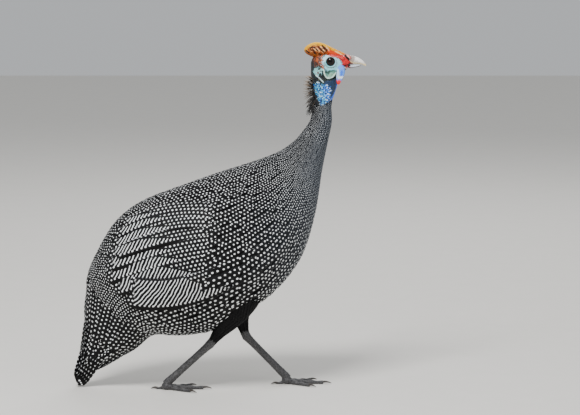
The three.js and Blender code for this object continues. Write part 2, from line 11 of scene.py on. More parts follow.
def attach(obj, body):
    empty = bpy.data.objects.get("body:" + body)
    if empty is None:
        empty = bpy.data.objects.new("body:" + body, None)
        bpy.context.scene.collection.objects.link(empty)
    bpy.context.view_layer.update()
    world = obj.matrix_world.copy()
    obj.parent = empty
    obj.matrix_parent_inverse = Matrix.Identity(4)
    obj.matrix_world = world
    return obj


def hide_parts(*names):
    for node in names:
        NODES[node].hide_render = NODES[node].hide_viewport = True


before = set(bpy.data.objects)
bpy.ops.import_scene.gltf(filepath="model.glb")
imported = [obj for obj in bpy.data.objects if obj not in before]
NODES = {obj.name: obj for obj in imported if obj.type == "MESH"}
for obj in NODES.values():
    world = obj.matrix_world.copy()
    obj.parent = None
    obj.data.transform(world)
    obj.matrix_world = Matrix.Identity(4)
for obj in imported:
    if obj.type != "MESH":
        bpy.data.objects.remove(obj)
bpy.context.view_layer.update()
MM = 0.001

# Sections of the body from the tail tip to the crown: the back point and the belly
# point as x and z, and the half width between them.
STATIONS = np.array([
    (-175.5, 12, -170, -3, 4),
    (-169, 38, -147, 21, 10),
    (-161, 73, -122, 39, 19),
    (-159, 108, -100, 53, 29),
    (-160, 136, -78, 65, 41),
    (-147, 167, -56, 64, 51),
    (-125, 203, -32, 65, 60),
    (-94, 227, -5, 71, 66),
    (-45, 246, 32, 93, 69),
    (0, 262, 65, 116, 67),
    (41, 275, 98, 158, 58),
    (72, 287, 115, 212, 43),
    (89, 299, 123, 264, 28),
    (99, 310, 130, 299, 19),
    (108, 323, 134.5, 323, 14),
    (111.5, 338, 134, 341, 11.8),
    (111.5, 354, 137, 354, 11.3),
    (111, 368, 141, 366, 11.8),
    (113, 384, 143, 378, 12),
], float)
LAST_STATION = len(STATIONS) - 1
BELLY_FULLNESS = 0.1


def deselect_all():
    if bpy.context.mode != "OBJECT":
        bpy.ops.object.mode_set(mode="OBJECT")
    bpy.ops.object.select_all(action="DESELECT")


def pick(piece):
    """Makes one object the only selected and active one."""
    deselect_all()
    piece.select_set(True)
    bpy.context.view_layer.objects.active = piece


def apply_modifier(piece, kind, **settings):
    pick(piece)
    modifier = piece.modifiers.new(kind.lower(), kind)
    for key, value in settings.items():
        setattr(modifier, key, value)
    bpy.ops.object.modifier_apply(modifier=modifier.name)


def close_surface(piece):
    """Fills the open ends of a mesh and turns its faces outwards."""
    pick(piece)
    bpy.ops.object.mode_set(mode="EDIT")
    bpy.ops.mesh.select_all(action="SELECT")
    bpy.ops.mesh.fill_holes(sides=0)
    bpy.ops.mesh.normals_make_consistent(inside=False)
    bpy.ops.object.mode_set(mode="OBJECT")


def lofted(name, rings, axis="X", sides=20, levels=2):
    """A closed, smooth body extruded through rings, each a centre and three radii in mm.
    The radius along the axis is left at 1."""
    centre, radii = rings[0]
    turn = (0, math.pi / 2, 0) if axis == "X" else (0, 0, 0)
    bpy.ops.mesh.primitive_circle_add(
        vertices=sides, radius=MM, location=Vector(centre) * MM, rotation=turn)
    piece = bpy.context.active_object
    piece.name = name
    bpy.ops.object.transform_apply(location=True, rotation=True, scale=True)
    bpy.ops.object.mode_set(mode="EDIT")
    bpy.ops.mesh.select_all(action="SELECT")
    bpy.ops.transform.resize(value=radii, center_override=Vector(centre) * MM)
    for (a, before), (b, after) in zip(rings, rings[1:]):
        step = (Vector(b) - Vector(a)) * MM
        bpy.ops.mesh.extrude_region_move(TRANSFORM_OT_translate={"value": step})
        change = [q / p for p, q in zip(before, after)]
        bpy.ops.transform.resize(value=change, center_override=Vector(b) * MM)
    close_surface(piece)
    apply_modifier(piece, "SUBSURF", levels=levels)
    return piece


def tube(name, stops, resolution=3):
    """A round limb along stops, each a point and a radius in mm, as a closed mesh."""
    data = bpy.data.curves.new(name, "CURVE")
    data.dimensions = "3D"
    data.bevel_depth = MM
    data.bevel_resolution = resolution
    data.use_fill_caps = True
    spline = data.splines.new("POLY")
    spline.points.add(len(stops) - 1)
    for point, (at, radius) in zip(spline.points, stops):
        point.co = (*(Vector(at) * MM), 1)
        point.radius = radius
    piece = bpy.data.objects.new(name, data)
    bpy.context.scene.collection.objects.link(piece)
    pick(piece)
    bpy.ops.object.convert(target="MESH")
    return bpy.context.active_object


def join_pieces(pieces):
    deselect_all()
    for piece in pieces:
        piece.select_set(True)
    bpy.context.view_layer.objects.active = pieces[0]
    bpy.ops.object.join()
    return bpy.context.active_object


def smooth_shaded(piece):
    pick(piece)
    bpy.ops.object.shade_smooth()


def read_points(mesh):
    """The mesh's points and normals, in mm."""
    count = len(mesh.vertices)
    points = np.zeros(count * 3, np.float32)
    normals = np.zeros(count * 3, np.float32)
    mesh.vertices.foreach_get("co", points)
    mesh.vertices.foreach_get("normal", normals)
    return points.reshape(-1, 3).astype(float) / MM, normals.reshape(-1, 3).astype(float)


def write_points(mesh, points):
    mesh.vertices.foreach_set("co", (points * MM).astype(np.float32).ravel())
    mesh.update()


def grain_of(points, size, seed=0.0):
    """Soft random values from about -1 to 1 at points, with features of a size in mm."""
    shift = Vector((seed, seed * 2, seed * 3))
    return np.array([noise.noise(Vector(p) / size + shift) for p in points])


def smooth_between(rows, position):
    """Values of a smooth Catmull-Rom curve through rows of numbers, at places between them."""
    last = len(rows) - 1
    i = np.minimum(position.astype(int), last - 1)
    f = (position - i)[..., None]
    a, b, c, d = (rows[np.clip(i + k, 0, last)] for k in (-1, 0, 1, 2))
    return 0.5 * (2 * b + (c - a) * f + (2 * a - 5 * b + 4 * c - d) * f ** 2
                  + (3 * b - a - 3 * c + d) * f ** 3)


def share_between(value, none, whole):
    """0 up to one value and 1 from the other, with a straight run between them."""
    return np.clip((value - none) / (whole - none), 0, 1)


def stroke_distance(points, path):
    """How far points lie from a stroke drawn on the side view, in mm."""
    flat = points[:, [0, 2]]
    path = np.array(path if len(path) > 1 else path * 2, float)
    if len(path) > 2:
        path = smooth_between(path, np.linspace(0, len(path) - 1, 5 * len(path)))
    nearest = np.full(len(points), np.inf)
    for a, b in zip(path, path[1:]):
        run = b - a
        share = np.clip((flat - a) @ run / max(run @ run, 1e-9), 0, 1)
        nearest = np.minimum(nearest, np.linalg.norm(flat - a - share[:, None] * run, axis=1))
    return nearest


def sculpt(piece, folds):
    """Raises or sinks a surface along strokes, each a height, a radius and a path in mm."""
    points, normals = read_points(piece.data)
    raised = np.zeros(len(points))
    for height, radius, path in folds:
        near = np.minimum(stroke_distance(points, path) / radius, 1)
        raised += height * (0.5 + 0.5 * np.cos(math.pi * near))
    sideways = np.clip(np.abs(normals[:, 1]) * 3, 0, 1)
    write_points(piece.data, points + normals * (raised * sideways)[:, None])


def tint(shade, code, share):
    """Lays one colour over a surface's colours, by a share for each point."""
    return shade * (1 - share[:, None]) + np.array(colour(code)) * share[:, None]


def paint(piece, ground, strokes, wobble=0.5, size=1.6):
    """Colours a surface from strokes on the side view, each a colour, a radius and a path."""
    points, _ = read_points(piece.data)
    shade = np.tile(np.array(colour(ground)), (len(points), 1))
    ragged = 1 + wobble * grain_of(points, size)
    for code, radius, path in strokes:
        reach = stroke_distance(points, path) * ragged / radius
        shade = tint(shade, code, share_between(reach, 1.2, 0.8))
    return points, shade


def keep_paint(piece, shade):
    attribute = piece.data.color_attributes.new("paint", "FLOAT_COLOR", "POINT")
    attribute.data.foreach_set("color", shade.astype(np.float32).ravel())
    smooth_shaded(piece)


def finish_piece(piece, name, material, replaces=()):
    """Names a piece, gives it its material, hangs it from the root and hides the parts it replaces."""
    piece.name = name
    piece.data.name = name
    piece.data.materials.clear()
    piece.data.materials.append(material)
    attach(piece, "root")
    if replaces:
        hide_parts(*replaces)


# Materials
# A grain, pebble or plate is given by its size in mm, and the pattern's scale comes from that.
# The grain of skin, horn and claws is finer in life, and is drawn coarser so that it shows.


def colour(hex_code):
    """Turns an sRGB hex code to linear colour."""
    channels = [int(hex_code[i:i + 2], 16) / 255 for i in (0, 2, 4)]
    linear = [c / 12.92 if c <= 0.04045 else ((c + 0.055) / 1.055) ** 2.4 for c in channels]
    return (*linear, 1.0)


def feed(node, inputs):
    """Gives a node's inputs their values, or links from other nodes' outputs."""
    for key, value in inputs.items():
        if isinstance(value, bpy.types.NodeSocket):
            node.id_data.links.new(value, node.inputs[key])
        else:
            node.inputs[key].default_value = value


def new_material(name, **settings):
    """A material, its nodes and its shader, with settings named as the shader's inputs."""
    material = bpy.data.materials.new(name)
    material.use_nodes = True
    shader = material.node_tree.nodes["Principled BSDF"]
    feed(shader, {key.replace("_", " "): value for key, value in settings.items()})
    return material, material.node_tree, shader


def add_node(tree, kind, inputs=(), output=0, **settings):
    """Adds a shader node with its settings and inputs, and gives one of its outputs."""
    made = tree.nodes.new("ShaderNode" + kind)
    for key, value in settings.items():
        setattr(made, key, value)
    feed(made, inputs if isinstance(inputs, dict) else dict(enumerate(inputs)))
    return made.outputs[output]


FEATHER_BLACK = "070709"
BARB_SPACING = 0.4  # barbs lie closer on the bird, and are drawn this coarse so that they show
BANDS = math.pi / 5 / math.sqrt(2)  # from one band of a diagonal wave to the next, at scale 1
SPOT_SPACING = 2.9  # usual distance between the spots of a body feather, in mm
BARB_HEIGHT = 0.3 * MM


def feather_material():
    """Body feather keratin, grown in fine barbs. It gives a near black, silky ground that
    shines little, with a round white spot in each cell of the vane's map. The mark holds a
    spot's two radii, and how far the black turns to the slate grey of the neck."""
    material, tree, shader = new_material(
        "spotted feather keratin", Roughness=0.65, Specular_IOR_Level=0.18)
    place = add_node(tree, "UVMap", uv_map="vane")
    mark = add_node(tree, "Attribute", output="Vector", attribute_name="mark")
    tone = add_node(tree, "SeparateXYZ", [mark], "Z")
    shifted = add_node(tree, "VectorMath", [place, (0.5, 0.5, 0)], operation="ADD")
    cell = add_node(tree, "VectorMath", [shifted], operation="FRACTION")
    centred = add_node(tree, "VectorMath", [cell, (0.5, 0.5, 0)], operation="SUBTRACT")
    scaled = add_node(tree, "VectorMath", [centred, mark], operation="DIVIDE")
    flat = add_node(tree, "VectorMath", [scaled, (1, 1, 0)], operation="MULTIPLY")
    reach = add_node(tree, "VectorMath", [flat], "Value", operation="LENGTH")
    spot = add_node(tree, "MapRange", [reach, 1.12, 0.88])
    ends = {0: tone, 6: colour(FEATHER_BLACK), 7: colour("3e454f")}
    ground = add_node(tree, "Mix", ends, 2, data_type="RGBA")
    ends = {0: tone, 6: colour("f7f9fa"), 7: colour("7f8790")}
    white = add_node(tree, "Mix", ends, 2, data_type="RGBA")
    base = add_node(tree, "Mix", {0: spot, 6: ground, 7: white}, 2, data_type="RGBA")
    scale = BANDS / BARB_SPACING * SPOT_SPACING
    barbs = add_node(
        tree, "TexWave", {"Vector": place, "Scale": scale, "Distortion": 1.5, "Detail": 1.0},
        "Fac", bands_direction="DIAGONAL")
    relief = add_node(tree, "Bump", {"Height": barbs, "Strength": 0.18, "Distance": BARB_HEIGHT})
    feed(shader, {"Base Color": base, "Normal": relief})
    return material


BAR_STEP = 5.1  # from one white bar of a flight feather to the next, in mm
BAR_LEAN = 0.8  # how far a bar moves towards the root for each mm from the vane's edge
BAR_WAVER = 11.1  # length of the waves in the bars, in mm
DOT_ROWS = 4.7  # from one row of dots to the next, in mm
PLAIN_EDGE = 3.5  # width of the black border, in mm


def flight_material():
    """Flight feather keratin, as silky as the coat's. It gives black vanes with slanting white
    bars below and rows of white dots at the root and above the bars. The mark holds the
    height of the highest bar, the lowest row of dots and the last bar's place, in mm."""
    material, tree, shader = new_material(
        "barred flight feather keratin", Roughness=0.6, Specular_IOR_Level=0.18)
    place = add_node(tree, "UVMap", uv_map="vane")
    mark = add_node(tree, "Attribute", output="Vector", attribute_name="mark")
    x, y, _ = add_node(tree, "SeparateXYZ", [place]).node.outputs
    highest, first_row, last_bar = add_node(tree, "SeparateXYZ", [mark]).node.outputs

    wobble = add_node(tree, "TexNoise", {"Vector": place, "Scale": 1 / BAR_WAVER}, "Fac")
    bent = add_node(tree, "Math", [wobble, 5.0, y], operation="MULTIPLY_ADD")
    slanted = add_node(tree, "Math", [x, -BAR_LEAN, bent], operation="MULTIPLY_ADD")
    turn = add_node(tree, "Math", [slanted, BAR_STEP], operation="DIVIDE")
    fold = add_node(tree, "Math", [turn, 0.5], operation="PINGPONG")
    bar = add_node(tree, "MapRange", [fold, 0.165, 0.115])

    over_first = add_node(tree, "Math", [x, first_row], operation="SUBTRACT")
    row = add_node(tree, "Math", [over_first, DOT_ROWS], operation="DIVIDE")
    number = add_node(tree, "Math", [row], operation="ROUND")
    fold = add_node(tree, "Math", [row, 0.5], operation="PINGPONG")
    across = add_node(tree, "Math", [fold, DOT_ROWS], operation="MULTIPLY")
    start = add_node(tree, "Math", [first_row, -BAR_LEAN, bent], operation="MULTIPLY_ADD")
    turn = add_node(tree, "Math", [start, BAR_STEP], operation="DIVIDE")
    along = add_node(tree, "Math", [number, 0.5, turn], operation="MULTIPLY_ADD")
    fold = add_node(tree, "Math", [along, 0.5], operation="PINGPONG")
    run = add_node(tree, "Math", [fold, BAR_STEP], operation="MULTIPLY")
    offset = add_node(tree, "CombineXYZ", [across, run])
    reach = add_node(tree, "VectorMath", [offset], "Value", operation="LENGTH")
    dot = add_node(tree, "MapRange", [reach, 1.2, 0.96])

    end = add_node(tree, "Math", [last_bar, 3.0], operation="SUBTRACT")
    before = add_node(tree, "MapRange", [y, last_bar, end])
    past_tip = add_node(tree, "MapRange", [y, 9.0, 12.0])
    barred = add_node(tree, "Math", [before, past_tip], operation="MULTIPLY")
    full = add_node(tree, "Math", [last_bar, 45.0], operation="SUBTRACT")
    growth = add_node(tree, "MapRange", [bent, last_bar, full])
    whole = add_node(tree, "Math", [highest, first_row], operation="SUBTRACT")
    height = add_node(tree, "Math", [growth, whole, first_row], operation="MULTIPLY_ADD")
    headroom = add_node(tree, "Math", [height, x], operation="SUBTRACT")
    low = add_node(tree, "Math", [first_row, 0.5], operation="ADD")
    over_low = add_node(tree, "MapRange", [x, first_row, low])
    under_high = add_node(tree, "MapRange", [headroom, 0.0, 0.5])
    room = add_node(tree, "Math", [over_low, under_high], operation="MULTIPLY")
    bars = add_node(tree, "Math", [bar, barred], operation="MULTIPLY")
    bars = add_node(tree, "Math", [bars, room], operation="MULTIPLY")

    size = add_node(tree, "Math", [number], operation="ABSOLUTE")
    upper_row = add_node(tree, "Math", [size, 1.0], operation="MINIMUM")
    below = add_node(tree, "MapRange", [headroom, -2.4, -1.8])
    taken = add_node(tree, "Math", [upper_row, barred], operation="MULTIPLY")
    taken = add_node(tree, "Math", [taken, below], operation="MULTIPLY")
    free = add_node(tree, "Math", [1.0, taken], operation="SUBTRACT")
    dots = add_node(tree, "Math", [dot, free], operation="MULTIPLY")

    edge = add_node(tree, "MapRange", [x, PLAIN_EDGE - 0.3, PLAIN_EDGE + 0.3])
    marks = add_node(tree, "Math", [bars, dots], operation="MAXIMUM")
    white = add_node(tree, "Math", [marks, edge], operation="MULTIPLY")
    ends = {0: white, 6: colour(FEATHER_BLACK), 7: colour("f5f7f8")}
    base = add_node(tree, "Mix", ends, 2, data_type="RGBA")
    scale = BANDS / BARB_SPACING
    barbs = add_node(
        tree, "TexWave", {"Vector": place, "Scale": scale, "Distortion": 1.5, "Detail": 1.0},
        "Fac", bands_direction="DIAGONAL")
    relief = add_node(tree, "Bump", {"Height": barbs, "Strength": 0.15, "Distance": BARB_HEIGHT})
    feed(shader, {"Base Color": base, "Normal": relief})
    return material


def painted_material(name, roughness, pebble, strength, depth, **settings):
    """A surface coloured by its own paint, with pebbles of a size and a depth in mm."""
    material, tree, shader = new_material(name, Roughness=roughness, **settings)
    base = add_node(tree, "Attribute", output="Color", attribute_name="paint")
    place = add_node(tree, "TexCoord", output="Object")
    pebbles = add_node(tree, "TexVoronoi", {"Vector": place, "Scale": 1 / (pebble * MM)}, "Distance")
    relief = add_node(
        tree, "Bump", {"Height": pebbles, "Strength": strength, "Distance": depth * MM})
    feed(shader, {"Base Color": base, "Normal": relief})
    return material


LEG_PLATE = 3.03  # width of a leg's small scales, in mm
LEG_MOTTLE = 8.33  # width of the darker and paler patches, in mm


def scale_material():
    """Leg scale keratin, in small hard plates. It gives dark grey, mottled plates with paler
    seams sunk between them and a dull, broad shine."""
    material, tree, shader = new_material("leg scale keratin", Roughness=0.5)
    place = add_node(tree, "TexCoord", output="Object")
    plates = add_node(tree, "TexVoronoi", {"Vector": place, "Scale": 1 / (LEG_PLATE * MM)},
                      "Distance", feature="DISTANCE_TO_EDGE")
    seam = add_node(tree, "MapRange", [plates, 0.0, 0.12])
    mottle = add_node(
        tree, "TexNoise", {"Vector": place, "Scale": 1 / (LEG_MOTTLE * MM), "Detail": 3.0}, "Fac")
    ends = {0: mottle, 6: colour("1c1c1e"), 7: colour("403f41")}
    plate = add_node(tree, "Mix", ends, 2, data_type="RGBA")
    ends = {0: seam, 6: colour("555455"), 7: plate}
    base = add_node(tree, "Mix", ends, 2, data_type="RGBA")
    relief = add_node(tree, "Bump", {"Height": seam, "Strength": 0.5, "Distance": 0.4 * MM})
    feed(shader, {"Base Color": base, "Normal": relief})
    return material


def bristle_material():
    """Bristle keratin, stiff and bare of barbs. It gives black shafts with a soft shine, and
    pale buff tips on the upper ones, as far as the mark says."""
    material, tree, shader = new_material("nape bristle keratin", Roughness=0.5)
    mark = add_node(tree, "Attribute", output="Vector", attribute_name="mark")
    pale = add_node(tree, "SeparateXYZ", [mark], "X")
    ends = {0: pale, 6: colour("0d0c0e"), 7: colour("c9a988")}
    base = add_node(tree, "Mix", ends, 2, data_type="RGBA")
    feed(shader, {"Base Color": base})
    return material


PUPIL_RADIUS = 3.1
RIM_RADIUS = 4.5


def eye_material():
    """A cornea under its tear film, as smooth as a lens. It gives one small, sharp glint over
    a black pupil, a dark brown iris and a black rim."""
    material, tree, shader = new_material("wet cornea", Roughness=0.05, IOR=1.336)
    place = add_node(tree, "TexCoord", output="Object")
    middle = (EYE[0] * MM, 0, EYE[2] * MM)
    centred = add_node(tree, "VectorMath", [place, middle], operation="SUBTRACT")
    flat = add_node(tree, "VectorMath", [centred, (1, 0, 1)], operation="MULTIPLY")
    radius = add_node(tree, "VectorMath", [flat], "Value", operation="LENGTH")
    brown = add_node(tree, "MapRange", [radius, PUPIL_RADIUS * MM, (PUPIL_RADIUS + 0.5) * MM])
    rim = add_node(tree, "MapRange", [radius, RIM_RADIUS * MM, (RIM_RADIUS + 0.7) * MM])
    ends = {0: brown, 6: colour("040303"), 7: colour("20110a")}
    iris = add_node(tree, "Mix", ends, 2, data_type="RGBA")
    base = add_node(tree, "Mix", {0: rim, 6: iris, 7: colour("050505")}, 2, data_type="RGBA")
    feed(shader, {"Base Color": base})
    return material


def plain_material(name, base, roughness, grain, depth, spread):
    """A finish of one colour that a grain, with a size and a depth in mm, darkens a little."""
    material, tree, shader = new_material(name, Roughness=roughness)
    place = add_node(tree, "TexCoord", output="Object")
    fine = add_node(
        tree, "TexNoise", {"Vector": place, "Scale": 1 / (grain * MM), "Detail": 4.0}, "Fac")
    dark = (*(c * (1 - spread) for c in colour(base)[:3]), 1.0)
    shade = add_node(tree, "Mix", {0: fine, 6: dark, 7: colour(base)}, 2, data_type="RGBA")
    relief = add_node(tree, "Bump", {"Height": fine, "Strength": 0.3, "Distance": depth * MM})
    feed(shader, {"Base Color": shade, "Normal": relief})
    return material


# The body's surface


def through_stations(t):
    """The stations' five values at places t between them."""
    return smooth_between(STATIONS, np.clip(t, 0, LAST_STATION))


def body_points(t, phi):
    """Points of the smooth body at stations t and angles phi from the back, in mm."""
    t, phi = np.broadcast_arrays(np.asarray(t, float), np.asarray(phi, float))
    v = through_stations(t)
    share = (1 - np.cos(phi)) / 2
    x = v[..., 0] + (v[..., 2] - v[..., 0]) * share
    z = v[..., 1] + (v[..., 3] - v[..., 1]) * share
    y = v[..., 4] * np.sin(phi) * (1 - BELLY_FULLNESS * np.cos(phi))
    return np.stack([x, y, z], -1)


def unit(vectors):
    return vectors / np.maximum(np.linalg.norm(vectors, axis=-1, keepdims=True), 1e-9)


def copied_mesh(names, name):
    """One object holding merged copies of some solids."""
    deselect_all()
    for node in names:
        made = bpy.data.objects.new(node + "_copy", NODES[node].data.copy())
        bpy.context.scene.collection.objects.link(made)
        made.select_set(True)
        bpy.context.view_layer.objects.active = made
    bpy.ops.object.join()
    made = bpy.context.view_layer.objects.active
    made.name = name
    bpy.ops.object.mode_set(mode="EDIT")
    bpy.ops.mesh.select_all(action="SELECT")
    bpy.ops.mesh.remove_doubles(threshold=0.00001)
    bpy.ops.object.mode_set(mode="OBJECT")
    return made


T_STEPS = 181
PHI_STEPS = 145
COAT_START, COAT_END = 1.6, 13.2  # stations between which the coat follows the solids
SEARCH_HEIGHT = 25  # how far outside the smooth body the solids are looked for, in mm
GRID_T = np.linspace(0, LAST_STATION, T_STEPS)
GRID_PHI = np.linspace(0, 2 * math.pi, PHI_STEPS)


def blurred(grid, passes):
    """Softens a grid whose columns go once round the body."""
    for _ in range(passes):
        ring = grid[:, :-1]
        ring = (np.roll(ring, 1, 1) + 2 * ring + np.roll(ring, -1, 1)) / 4
        rows = np.pad(ring, ((1, 1), (0, 0)), mode="edge")
        ring = (rows[:-2] + 2 * rows[1:-1] + rows[2:]) / 4
        grid = np.concatenate([ring, ring[:, :1]], 1)
    return grid


def coat_grids():
    """The surface that the coat lies on, found on the solids, with its normals."""
    outer = copied_mesh(["torso", "neck", "wing_left", "wing_right", "tail"], "outer")
    tree = BVHTree.FromObject(outer, bpy.context.evaluated_depsgraph_get())
    bpy.data.objects.remove(outer)
    t, phi = np.meshgrid(GRID_T, GRID_PHI, indexing="ij")
    base = body_points(t, phi)
    along = np.gradient(base, axis=0)
    round_ = np.gradient(base, axis=1)
    normal = unit(np.cross(along, round_))
    height = np.zeros(t.shape)
    for i, j in np.ndindex(t.shape):
        if not COAT_START < t[i, j] < COAT_END:
            continue
        start = Vector((base[i, j] + normal[i, j] * SEARCH_HEIGHT) * MM)
        hit = tree.ray_cast(start, Vector(-normal[i, j]), (SEARCH_HEIGHT + 10) * MM)
        if hit[0] is not None:
            height[i, j] = np.clip(SEARCH_HEIGHT - hit[3] / MM, -1, 8)
    height = blurred(height, 12)
    surface = base + normal * height[..., None]
    along = np.gradient(surface, axis=0)
    round_ = np.gradient(surface, axis=1)
    round_[:, 0] = round_[:, -1] = surface[:, 1] - surface[:, -2]
    return surface, unit(np.cross(along, round_))


SURFACE, NORMALS = coat_grids()


def on_grid(grid, t, phi):
    """Reads a grid between its points."""
    row = np.clip(t / LAST_STATION * (T_STEPS - 1), 0, T_STEPS - 1.001)
    column = np.mod(phi, 2 * math.pi) / (2 * math.pi) * (PHI_STEPS - 1)
    i, j = row.astype(int), np.minimum(column.astype(int), PHI_STEPS - 2)
    a, b = (row - i)[..., None], (column - j)[..., None]
    return ((grid[i, j] * (1 - b) + grid[i, j + 1] * b) * (1 - a)
            + (grid[i + 1, j] * (1 - b) + grid[i + 1, j + 1] * b) * a)


STEP = 0.05  # a small part of a station or of a radian


def stretch(t, phi, along, around):
    """Millimetres of the coat's surface for one station or for one radian."""
    gap = (on_grid(SURFACE, t + along, phi + around) - on_grid(SURFACE, t - along, phi - around))
    return np.linalg.norm(gap, axis=-1) / (2 * STEP)


def from_back(phi):
    """The angle from the middle of the back, on either side, in degrees."""
    return np.degrees(np.arccos(np.cos(phi)))


def flank_place(x, z):
    """The station and angle of points of the side view, on the right or left flank."""
    x, z = np.asarray(x, float), np.asarray(z, float)
    low, high = np.zeros(x.shape), np.full(x.shape, float(LAST_STATION))
    for _ in range(26):
        middle = (low + high) / 2
        v = through_stations(middle)
        ahead = (v[..., 3] - v[..., 1]) * (x - v[..., 0]) - (v[..., 2] - v[..., 0]) * (z - v[..., 1])
        low = np.where(ahead < 0, middle, low)
        high = np.where(ahead < 0, high, middle)
    v = through_stations(low)
    run = np.stack([v[..., 2] - v[..., 0], v[..., 3] - v[..., 1]], -1)
    share = ((x - v[..., 0]) * run[..., 0] + (z - v[..., 1]) * run[..., 1]) / (run ** 2).sum(-1)
    return low, np.arccos(np.clip(1 - 2 * share, -0.995, 0.995))


# Feathers as closed, thin, crowned vanes


class VaneTemplate:
    """Rings along a vane and columns across it, with its top and bottom joined at the rim."""

    def __init__(self, rings, columns, tip=0.2, root=0.45):
        self.s = np.linspace(0, 1, rings)
        self.s = 1 - (1 - self.s) ** 1.25
        cap = np.clip((1 - self.s) / tip, 0, 1)
        end = np.sqrt(np.maximum(1 - (1 - cap) ** 2, 0)) * 0.97 + 0.03
        self.width = end * (root + (1 - root) * np.minimum(1, self.s / 0.45) ** 0.7)
        self.c = np.linspace(-1, 1, columns)
        index = np.arange(rings * columns).reshape(rings, columns)
        under = index.copy()
        inner = (rings - 2) * (columns - 2)
        under[1:-1, 1:-1] = rings * columns + np.arange(inner).reshape(rings - 2, columns - 2)
        self.count = rings * columns + inner
        self.ring = np.zeros(self.count, int)
        self.column = np.zeros(self.count, int)
        self.below = np.zeros(self.count, bool)
        for grid, below in ((under, True), (index, False)):
            for (i, j), k in np.ndenumerate(grid):
                self.ring[k], self.column[k], self.below[k] = i, j, below
        top = [(index[i, j], index[i, j + 1], index[i + 1, j + 1], index[i + 1, j])
               for i in range(rings - 1) for j in range(columns - 1)]
        bottom = [(under[i, j], under[i + 1, j], under[i + 1, j + 1], under[i, j + 1])
                  for i in range(rings - 1) for j in range(columns - 1)]
        self.quads = np.array(top + bottom)
        middle = columns // 2
        halves = [j for i in range(rings - 1) for j in range(columns - 1)] * 2
        self.right_half = np.array(halves) >= middle


def mesh_from_arrays(name, points, quads, layers, mark):
    """A mesh of quads with its UV maps, given per corner, and one attribute per point."""
    mesh = bpy.data.meshes.new(name)
    mesh.vertices.add(len(points))
    mesh.vertices.foreach_set("co", (points * MM).astype(np.float32).ravel())
    mesh.loops.add(quads.size)
    mesh.loops.foreach_set("vertex_index", quads.ravel().astype(np.int32))
    mesh.polygons.add(len(quads))
    mesh.polygons.foreach_set("loop_start", np.arange(0, quads.size, 4, dtype=np.int32))
    mesh.update(calc_edges=True)
    for layer, values in layers.items():
        made = mesh.uv_layers.new(name=layer)
        made.data.foreach_set("uv", values.astype(np.float32).ravel())
    attribute = mesh.attributes.new("mark", "FLOAT_VECTOR", "POINT")
    attribute.data.foreach_set("vector", mark.astype(np.float32).ravel())
    mesh.polygons.foreach_set("use_smooth", np.ones(len(quads), bool))
    piece = bpy.data.objects.new(name, mesh)
    bpy.context.scene.collection.objects.link(piece)
    return piece


PATCH = 0.006  # width of each feather's own patch on the baking map
ROW_STRETCH = 1.06  # spots lie this much further apart along a feather than across it


def vane_mesh(name, template, centre, up, root, half, length, thickness, crown, mark,
              pitch=None, edge_side=None):
    """Lays vanes along paths of centres with their upward directions, one for each ring.
    With a pitch, the map counts spots. With an edge side, it is in mm from that edge."""
    count = len(centre)
    ahead = unit(np.gradient(centre, axis=1))
    side = unit(np.cross(up, ahead))
    up = unit(np.cross(ahead, side))
    ring, column = template.ring, template.column
    c = template.c[column]
    across = (half[:, None] * template.width[None, :])[:, ring] * c
    depth = np.where(template.below, -1.0, 0.0) * thickness[:, None] - crown[:, None] * c ** 2
    points = centre[:, ring] + side[:, ring] * across[..., None] + up[:, ring] * depth[..., None]
    corner = template.quads
    x = across[:, corner]
    y = ((1 - template.s[ring])[None] * length[:, None])[:, corner]
    if pitch is not None:
        right = template.right_half[None, :, None]
        u = x / pitch[:, None, None] - np.where(right, 0.5, -0.5)
        v = y / (pitch[:, None, None] * ROW_STRETCH) - np.where(right, 0.95, 0.45)
    else:
        u = x * edge_side[:, None, None] + half[:, None, None]
        v = y
    low = root.min(0)
    span = np.maximum(root.max(0) - low, 1e-6)
    patch = 0.01 + 0.97 * (root - low) / span
    bake_u = patch[:, :1] + PATCH * (c + 1)[None] / 2
    bake_v = patch[:, 1:] + PATCH * template.s[ring][None]
    layers = {
        "vane": np.stack([u, v], -1).reshape(-1, 2),
        "OFBake": np.stack([bake_u[:, corner], bake_v[:, corner]], -1).reshape(-1, 2),
    }
    quads = corner[None] + (np.arange(count) * template.count)[:, None, None]
    spread = np.repeat(mark, template.count, axis=0)
    return mesh_from_arrays(name, points.reshape(-1, 3), quads.reshape(-1, 4), layers, spread)


def body_vanes(name, template, t, phi, lift, *rest, **options):
    """Vanes that lie on the body along stations and angles, at a lift for each ring."""
    centre = on_grid(SURFACE, t, phi)
    up = on_grid(NORMALS, t, phi)
    root = np.stack([np.mod(phi[:, 0], 2 * math.pi), t[:, 0]], -1)
    return vane_mesh(name, template, centre + up * lift[..., None], up, root, *rest, **options)


# The spotted coat runs in columns from the neck to the tail, two spots to a feather, so each
# column's spacing follows the body's girth. Tables go by the angle from the back in degrees,
# by the station or by the feather's half width in mm.
COLUMN_COUNT = 47
COLUMN_SPACING = ([0, 50, 90, 120, 180], [4.6, 4.9, 5.3, 7.0, 7.6])
COLLAR = ([0, 120, 170], [15.4, 15.4, 15.85])
LAST_ROOT = 1.7
NARROWEST_FEATHER = 5.8  # where the columns of the rump close up, every second one stops
NARROWEST_ON_NECK = 3.0
SHORTEST_ROW = ([3, 8, 12, 14], [4.6, 4.6, 2.2, 1.5])
LONGEST_ROW = 7.4
SPOT_RADIUS = ([1.2, 2.2, 4.5], [0.165, 0.188, 0.195])
COAT_ZONES = {"coat_neck": (12.2, 20), "coat_breast": (9.2, 12.2), "coat_side": (6.2, 9.2),
              "coat_rump": (0, 6.2)}
